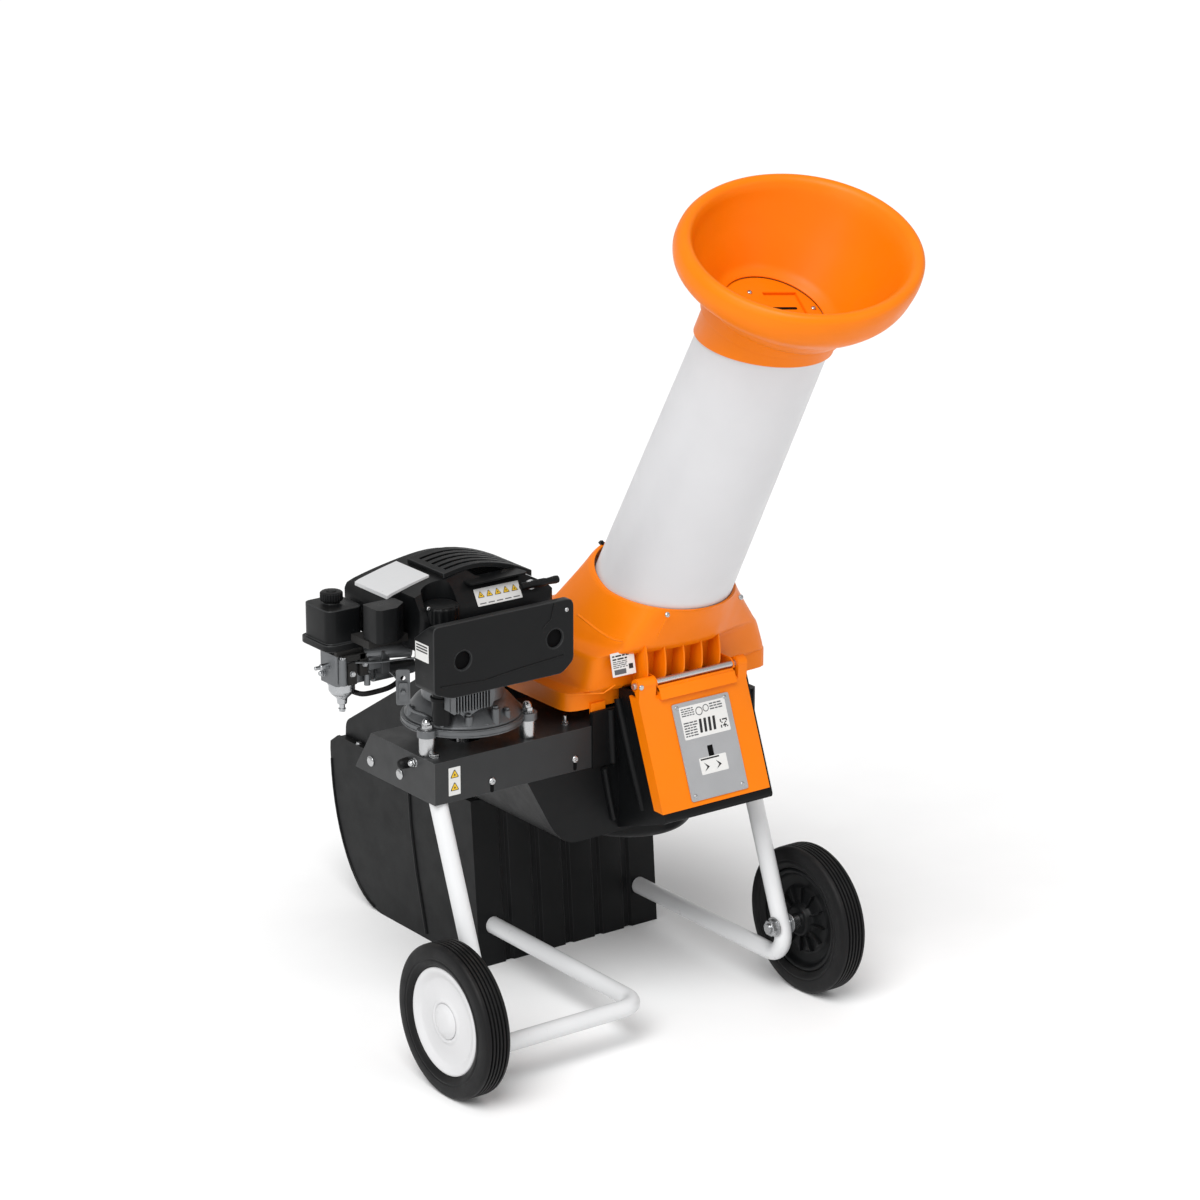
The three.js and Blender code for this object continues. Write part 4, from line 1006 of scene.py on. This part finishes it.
def hood_details():
    trim = Shape("steel")
    for x, y, z in ((74, 20.5, 699), (222, 21.5, 700)):
        trim.screw(frame_at(x, y, z, (0, -0.93, 0.36)), 4.4)
    piece("rim_screws", trim, body="hopper")
    crease = Shape("orange")
    crease.tube([(73, 21.5, 694), (67, 27, 676), (64, 32, 662)], 1.3, segments=12)
    crease.block((-14, 103, 527), (14, 109, 545))
    crease.tube(smooth_path([(-52, 88, 706), (-20, 72, 676), (2, 67, 661), (20, 66, 654)]), 2,
                segments=14)
    crease.tube([(-53, 112, 566), (-10, 76, 570), (12, 74, 580)], 1.2, segments=12)
    piece("hood_creases", crease, bevel=0.6, body="hopper")
    clip = Shape("gloss")
    clip.block((-5, -3, -1), (5, 3, 5), frame_at(107, 239, 757, (-0.5, 0.3, 0.8), (0, 1, 0)))
    piece("rim_clip", clip, bevel=1, body="hopper")
    label = Shape("paper")
    spot = frame_at(24, 70, 614.5, (-0.05, -0.975, 0.22), (1, 0, 0))
    label.plate([rectangle(-22, 22, -19, 19, 1.5)], -0.3, 0.5, spot)
    printed_lines(label, spot, -19, 14, 6, 16, 2, "ink")
    printed_lines(label, spot, -19, 8, -6, 6, 4)
    label.use("print").block((-18, -16, 0.3), (4, -8, 0.7), spot)
    label.use("ink").block((10, -10, 0.3), (18, -2, 0.7), spot)
    piece("hood_label", label, body="hopper", slot="orange_plastic")


def feed_place():
    up = (0, -math.sin(FEED["lean"]), math.cos(FEED["lean"]))
    return frame_at(RIM["x"], FEED["y"], FEED["z"], up, (1, 0, 0))


def level_cut(radius, angle, height):
    """How far up the feed axis a line along the tube meets the cut that leans 10 degrees."""
    y0 = FEED["y"] + radius * math.sin(angle) * math.cos(FEED["lean"])
    z0 = FEED["z"] + radius * math.sin(angle) * math.sin(FEED["lean"])
    up, back = math.cos(FEED["lean"]), -math.sin(FEED["lean"])
    return (height + CUT_LEAN * (y0 - RIM["y"]) - z0) / (up - CUT_LEAN * back)


def tube_radius(s):
    return FEED["radius"] - FEED["taper"] * s


def feed_tube():
    """A tapered pipe from a cut 658 mm up; its profile gives each skin's inset and its level
    as a percentage of the length."""
    top, wall, foot, outer = 462, 4, 658, 10

    def warp(radius, level, angle):
        inset = outer - radius
        low = level_cut(tube_radius(0) - inset, angle, foot)
        height = low + (top - low) * (level / 100)
        return tube_radius(height) - inset, height

    levels = [0, 15, 30, 45, 60, 75, 90, 99, 100]
    profile = [(outer, s) for s in levels] + [(outer - wall, s) for s in reversed(levels)]
    tube = Shape("feed").turned(profile, feed_place(), 128, warp)
    piece("feed_pipe", tube, ["feed_tube"], 0.6, body="hopper")


def funnel():
    """Its collar ends at a cut 1206 mm up, and above the neck the bowl leans to one side."""
    sleeve = tube_radius(380) + 0.3
    throat = tube_radius(428) - 4
    collar, neck, lip, cut_height = 370, 490, 580, 1206

    def warp(radius, s, angle):
        if s <= collar + 2 or (s < neck and radius > sleeve + 4):
            foot = level_cut(radius, angle, cut_height)
            return radius, foot + (s - collar) * (neck - foot) / (neck - collar)
        rise = radius * (0.16 * math.cos(angle) - 0.105 * math.sin(angle))
        share = min(1, max(0, (s - neck) / (lip - neck)))
        return radius, s + share * rise

    profile = [
        (sleeve, collar), (sleeve + 4.5, collar, 1.5), (sleeve + 4.5, collar + 2),
        (sleeve + 4.5, 431, 1),
        (sleeve + 10, 435, 1), (sleeve + 10.5, 474, 4), (sleeve + 15, 480, 4),
        (130, 508, 10), (163, 533, 12), (181, 553, 12), (186, 580, 8), (184, 598, 7),
        (176, 606, 6), (166, 603, 6), (159, 592, 8), (149, 566, 18), (134, 536, 14),
        (throat + 1, 479, 10), (83, 471.2, 1), (83, 469.4), (throat, 469.4),
        (throat, 463), (sleeve, 463)]
    bowl = Shape("orange").turned(profile, feed_place(), 144, warp)
    piece("funnel_bowl", bowl, ["funnel"], 0.4, 40, body="hopper")


def feed_flap():
    """A hinged hatch in the throat with a shallow window and two screws."""
    place = feed_place()
    low, top, floor = 464.4, 467.6, 461.2
    askew = Matrix.Translation((33, 18, 0)) @ Matrix.Rotation(-12 * DEG, 4, "Z")
    window = place @ askew
    corners = [askew @ Vector((u, v, 0)) for u, v in rounded(rectangle(-30, 30, -27, 25, 3))]
    hatch = Shape("orange").plate([circle(0, 0, 83.6, 96), [(c.x, c.y) for c in corners]],
                                  low, top, place)
    hatch.plate([rectangle(-31, 31, -28, 26, 3)], floor, floor + 1.4, window)
    for u0, v0, u1, v1 in ((-31, -28, 31, -26), (-31, 24, 31, 26), (-31, -28, -29, 26),
                           (29, -28, 31, 26)):
        hatch.block((u0, v0, floor), (u1, v1, top - 0.6), window)
    # A near-black bar in the window: painted shade in a recess.
    hatch.use("void").plate([rectangle(-22, 20, -10, -5, 2)], floor + 1.2, floor + 2, window)
    piece("throat_flap", hatch, ["feed_flap"], 0.5, body="feed_flap")
    screws = Shape("steel")
    for u, v in ((-12, 52), (74, -4)):
        screws.screw(place @ frame_at(u, v, top), 4.2)
    piece("flap_screws", screws, body="feed_flap")


def lock_knob():
    low, high = box_mm("lock_knob")
    _, y, z = middle_mm("lock_knob")
    rim = (high.z - low.z) / 2
    knob = Shape("black").turned([
        (0, 0), (5, 0), (5, 34, 0.5), (9, 35, 1), (13, 38, 2), (rim, 41, 2), (rim, 53, 2),
        (rim - 3, 56.5, 2), (0, 56.8)], facing_x(low.x, y, z, 1), ribs=(12, 2.2))
    piece("lock_grip", knob, ["lock_knob"], 0.5, body="lock_knob")


# ---------------- discharge


def discharge():
    # The chute's rolled edges are in the lighter black: a painted highlight on its ribs.
    from_cad("discharge_chute discharge_duct", "black", 2.2, "black_edge", 30)
    from_cad("chute_extension", "black", 1.2, "black_edge", 30, body="chute_extension")
    low, high = box_mm("discharge_chute")
    ridges = Shape("black")
    for x in (low.x, high.x):
        ridges.tube([(x, 595, 262), (x, 590, 200), (x, 575, 120), (x, 546, 10)], 3.2, segments=20)
        edge = [(x, 690 + 150 * math.sin(a * DEG), 262 - 258 * math.cos(a * DEG))
                for a in range(8, 90, 6)]
        ridges.tube(edge, 2.4, segments=16)
    piece("chute_ridges", ridges)
    bolts = Shape("steel")
    for x in (low.x + 6, high.x - 6):
        for y in (440, 600, 760):
            bolts.hex_head(frame_at(x, y, high.z), 5, 4)
    piece("duct_bolts", bolts, bevel=0.2)


# ---------------- stage, light and camera


def stage():
    bpy.ops.mesh.primitive_plane_add(size=60)
    floor = bpy.context.active_object
    floor.name = "floor"
    floor.data.materials.append(
        finish("pale_floor", (250, 250, 250), 0.7, grain=60, depth=0.02, mottle=0.01, scuff=0.0,
               specular=0.1))


def light(kind, name, energy, place, target, size):
    data = bpy.data.lights.new(name, kind)
    data.energy = energy
    if kind == "SUN":
        data.angle = size
    else:
        data.shape = "DISK"
        data.size = size
    lamp = linked(name, data)
    lamp.location = place
    lamp.rotation_euler = (Vector(target) - Vector(place)).to_track_quat("-Z", "Y").to_euler()


def studio():
    world = bpy.data.worlds.new("studio")
    bpy.context.scene.world = world
    world.use_nodes = True
    background = world.node_tree.nodes["Background"]
    background.inputs["Color"].default_value = (1, 1, 1, 1)
    background.inputs["Strength"].default_value = 0.52
    middle = (AXLE.x, AXLE.y + 0.3, 0.7)
    light("SUN", "key", 2.35, (-3, -2.4, 5), (0, 0, 0), 40 * DEG)
    light("AREA", "soft_left", 20, (-3.4, -1.6, 2.2), middle, 2.2)
    light("AREA", "soft_front", 14, (1.4, -4.2, 2.6), middle, 2.0)
    bpy.context.scene.view_settings.view_transform = "Standard"


def camera():
    azimuth, elevation = 36.233 * DEG, 17.624 * DEG
    level = math.cos(elevation)
    ahead = Vector((math.sin(azimuth) * level, math.cos(azimuth) * level, -math.sin(elevation)))
    data = bpy.data.cameras.new("camera")
    data.sensor_width = 36
    data.lens = 119.31
    data.clip_end = 100
    obj = linked("camera", data)
    obj.location = AXLE + Vector((-3.5379, -4.7292, 2.6187))
    obj.rotation_euler = ahead.to_track_quat("-Z", "Y").to_euler()
    bpy.context.scene.camera = obj


wheel(-1, "left")
wheel(1, "right")
leg_tubes()
base_plate()
plate_label()
engine_block()
exhaust()
shroud()
shroud_labels()
oil_filler()
fuel_system()
carburettor()
throttle_linkage()
starter()
drive()
lower_housing()
front_cover()
data_plate()
ear_rivet()
hood()
hood_details()
feed_tube()
funnel()
feed_flap()
lock_knob()
discharge()
stage()
studio()
camera()
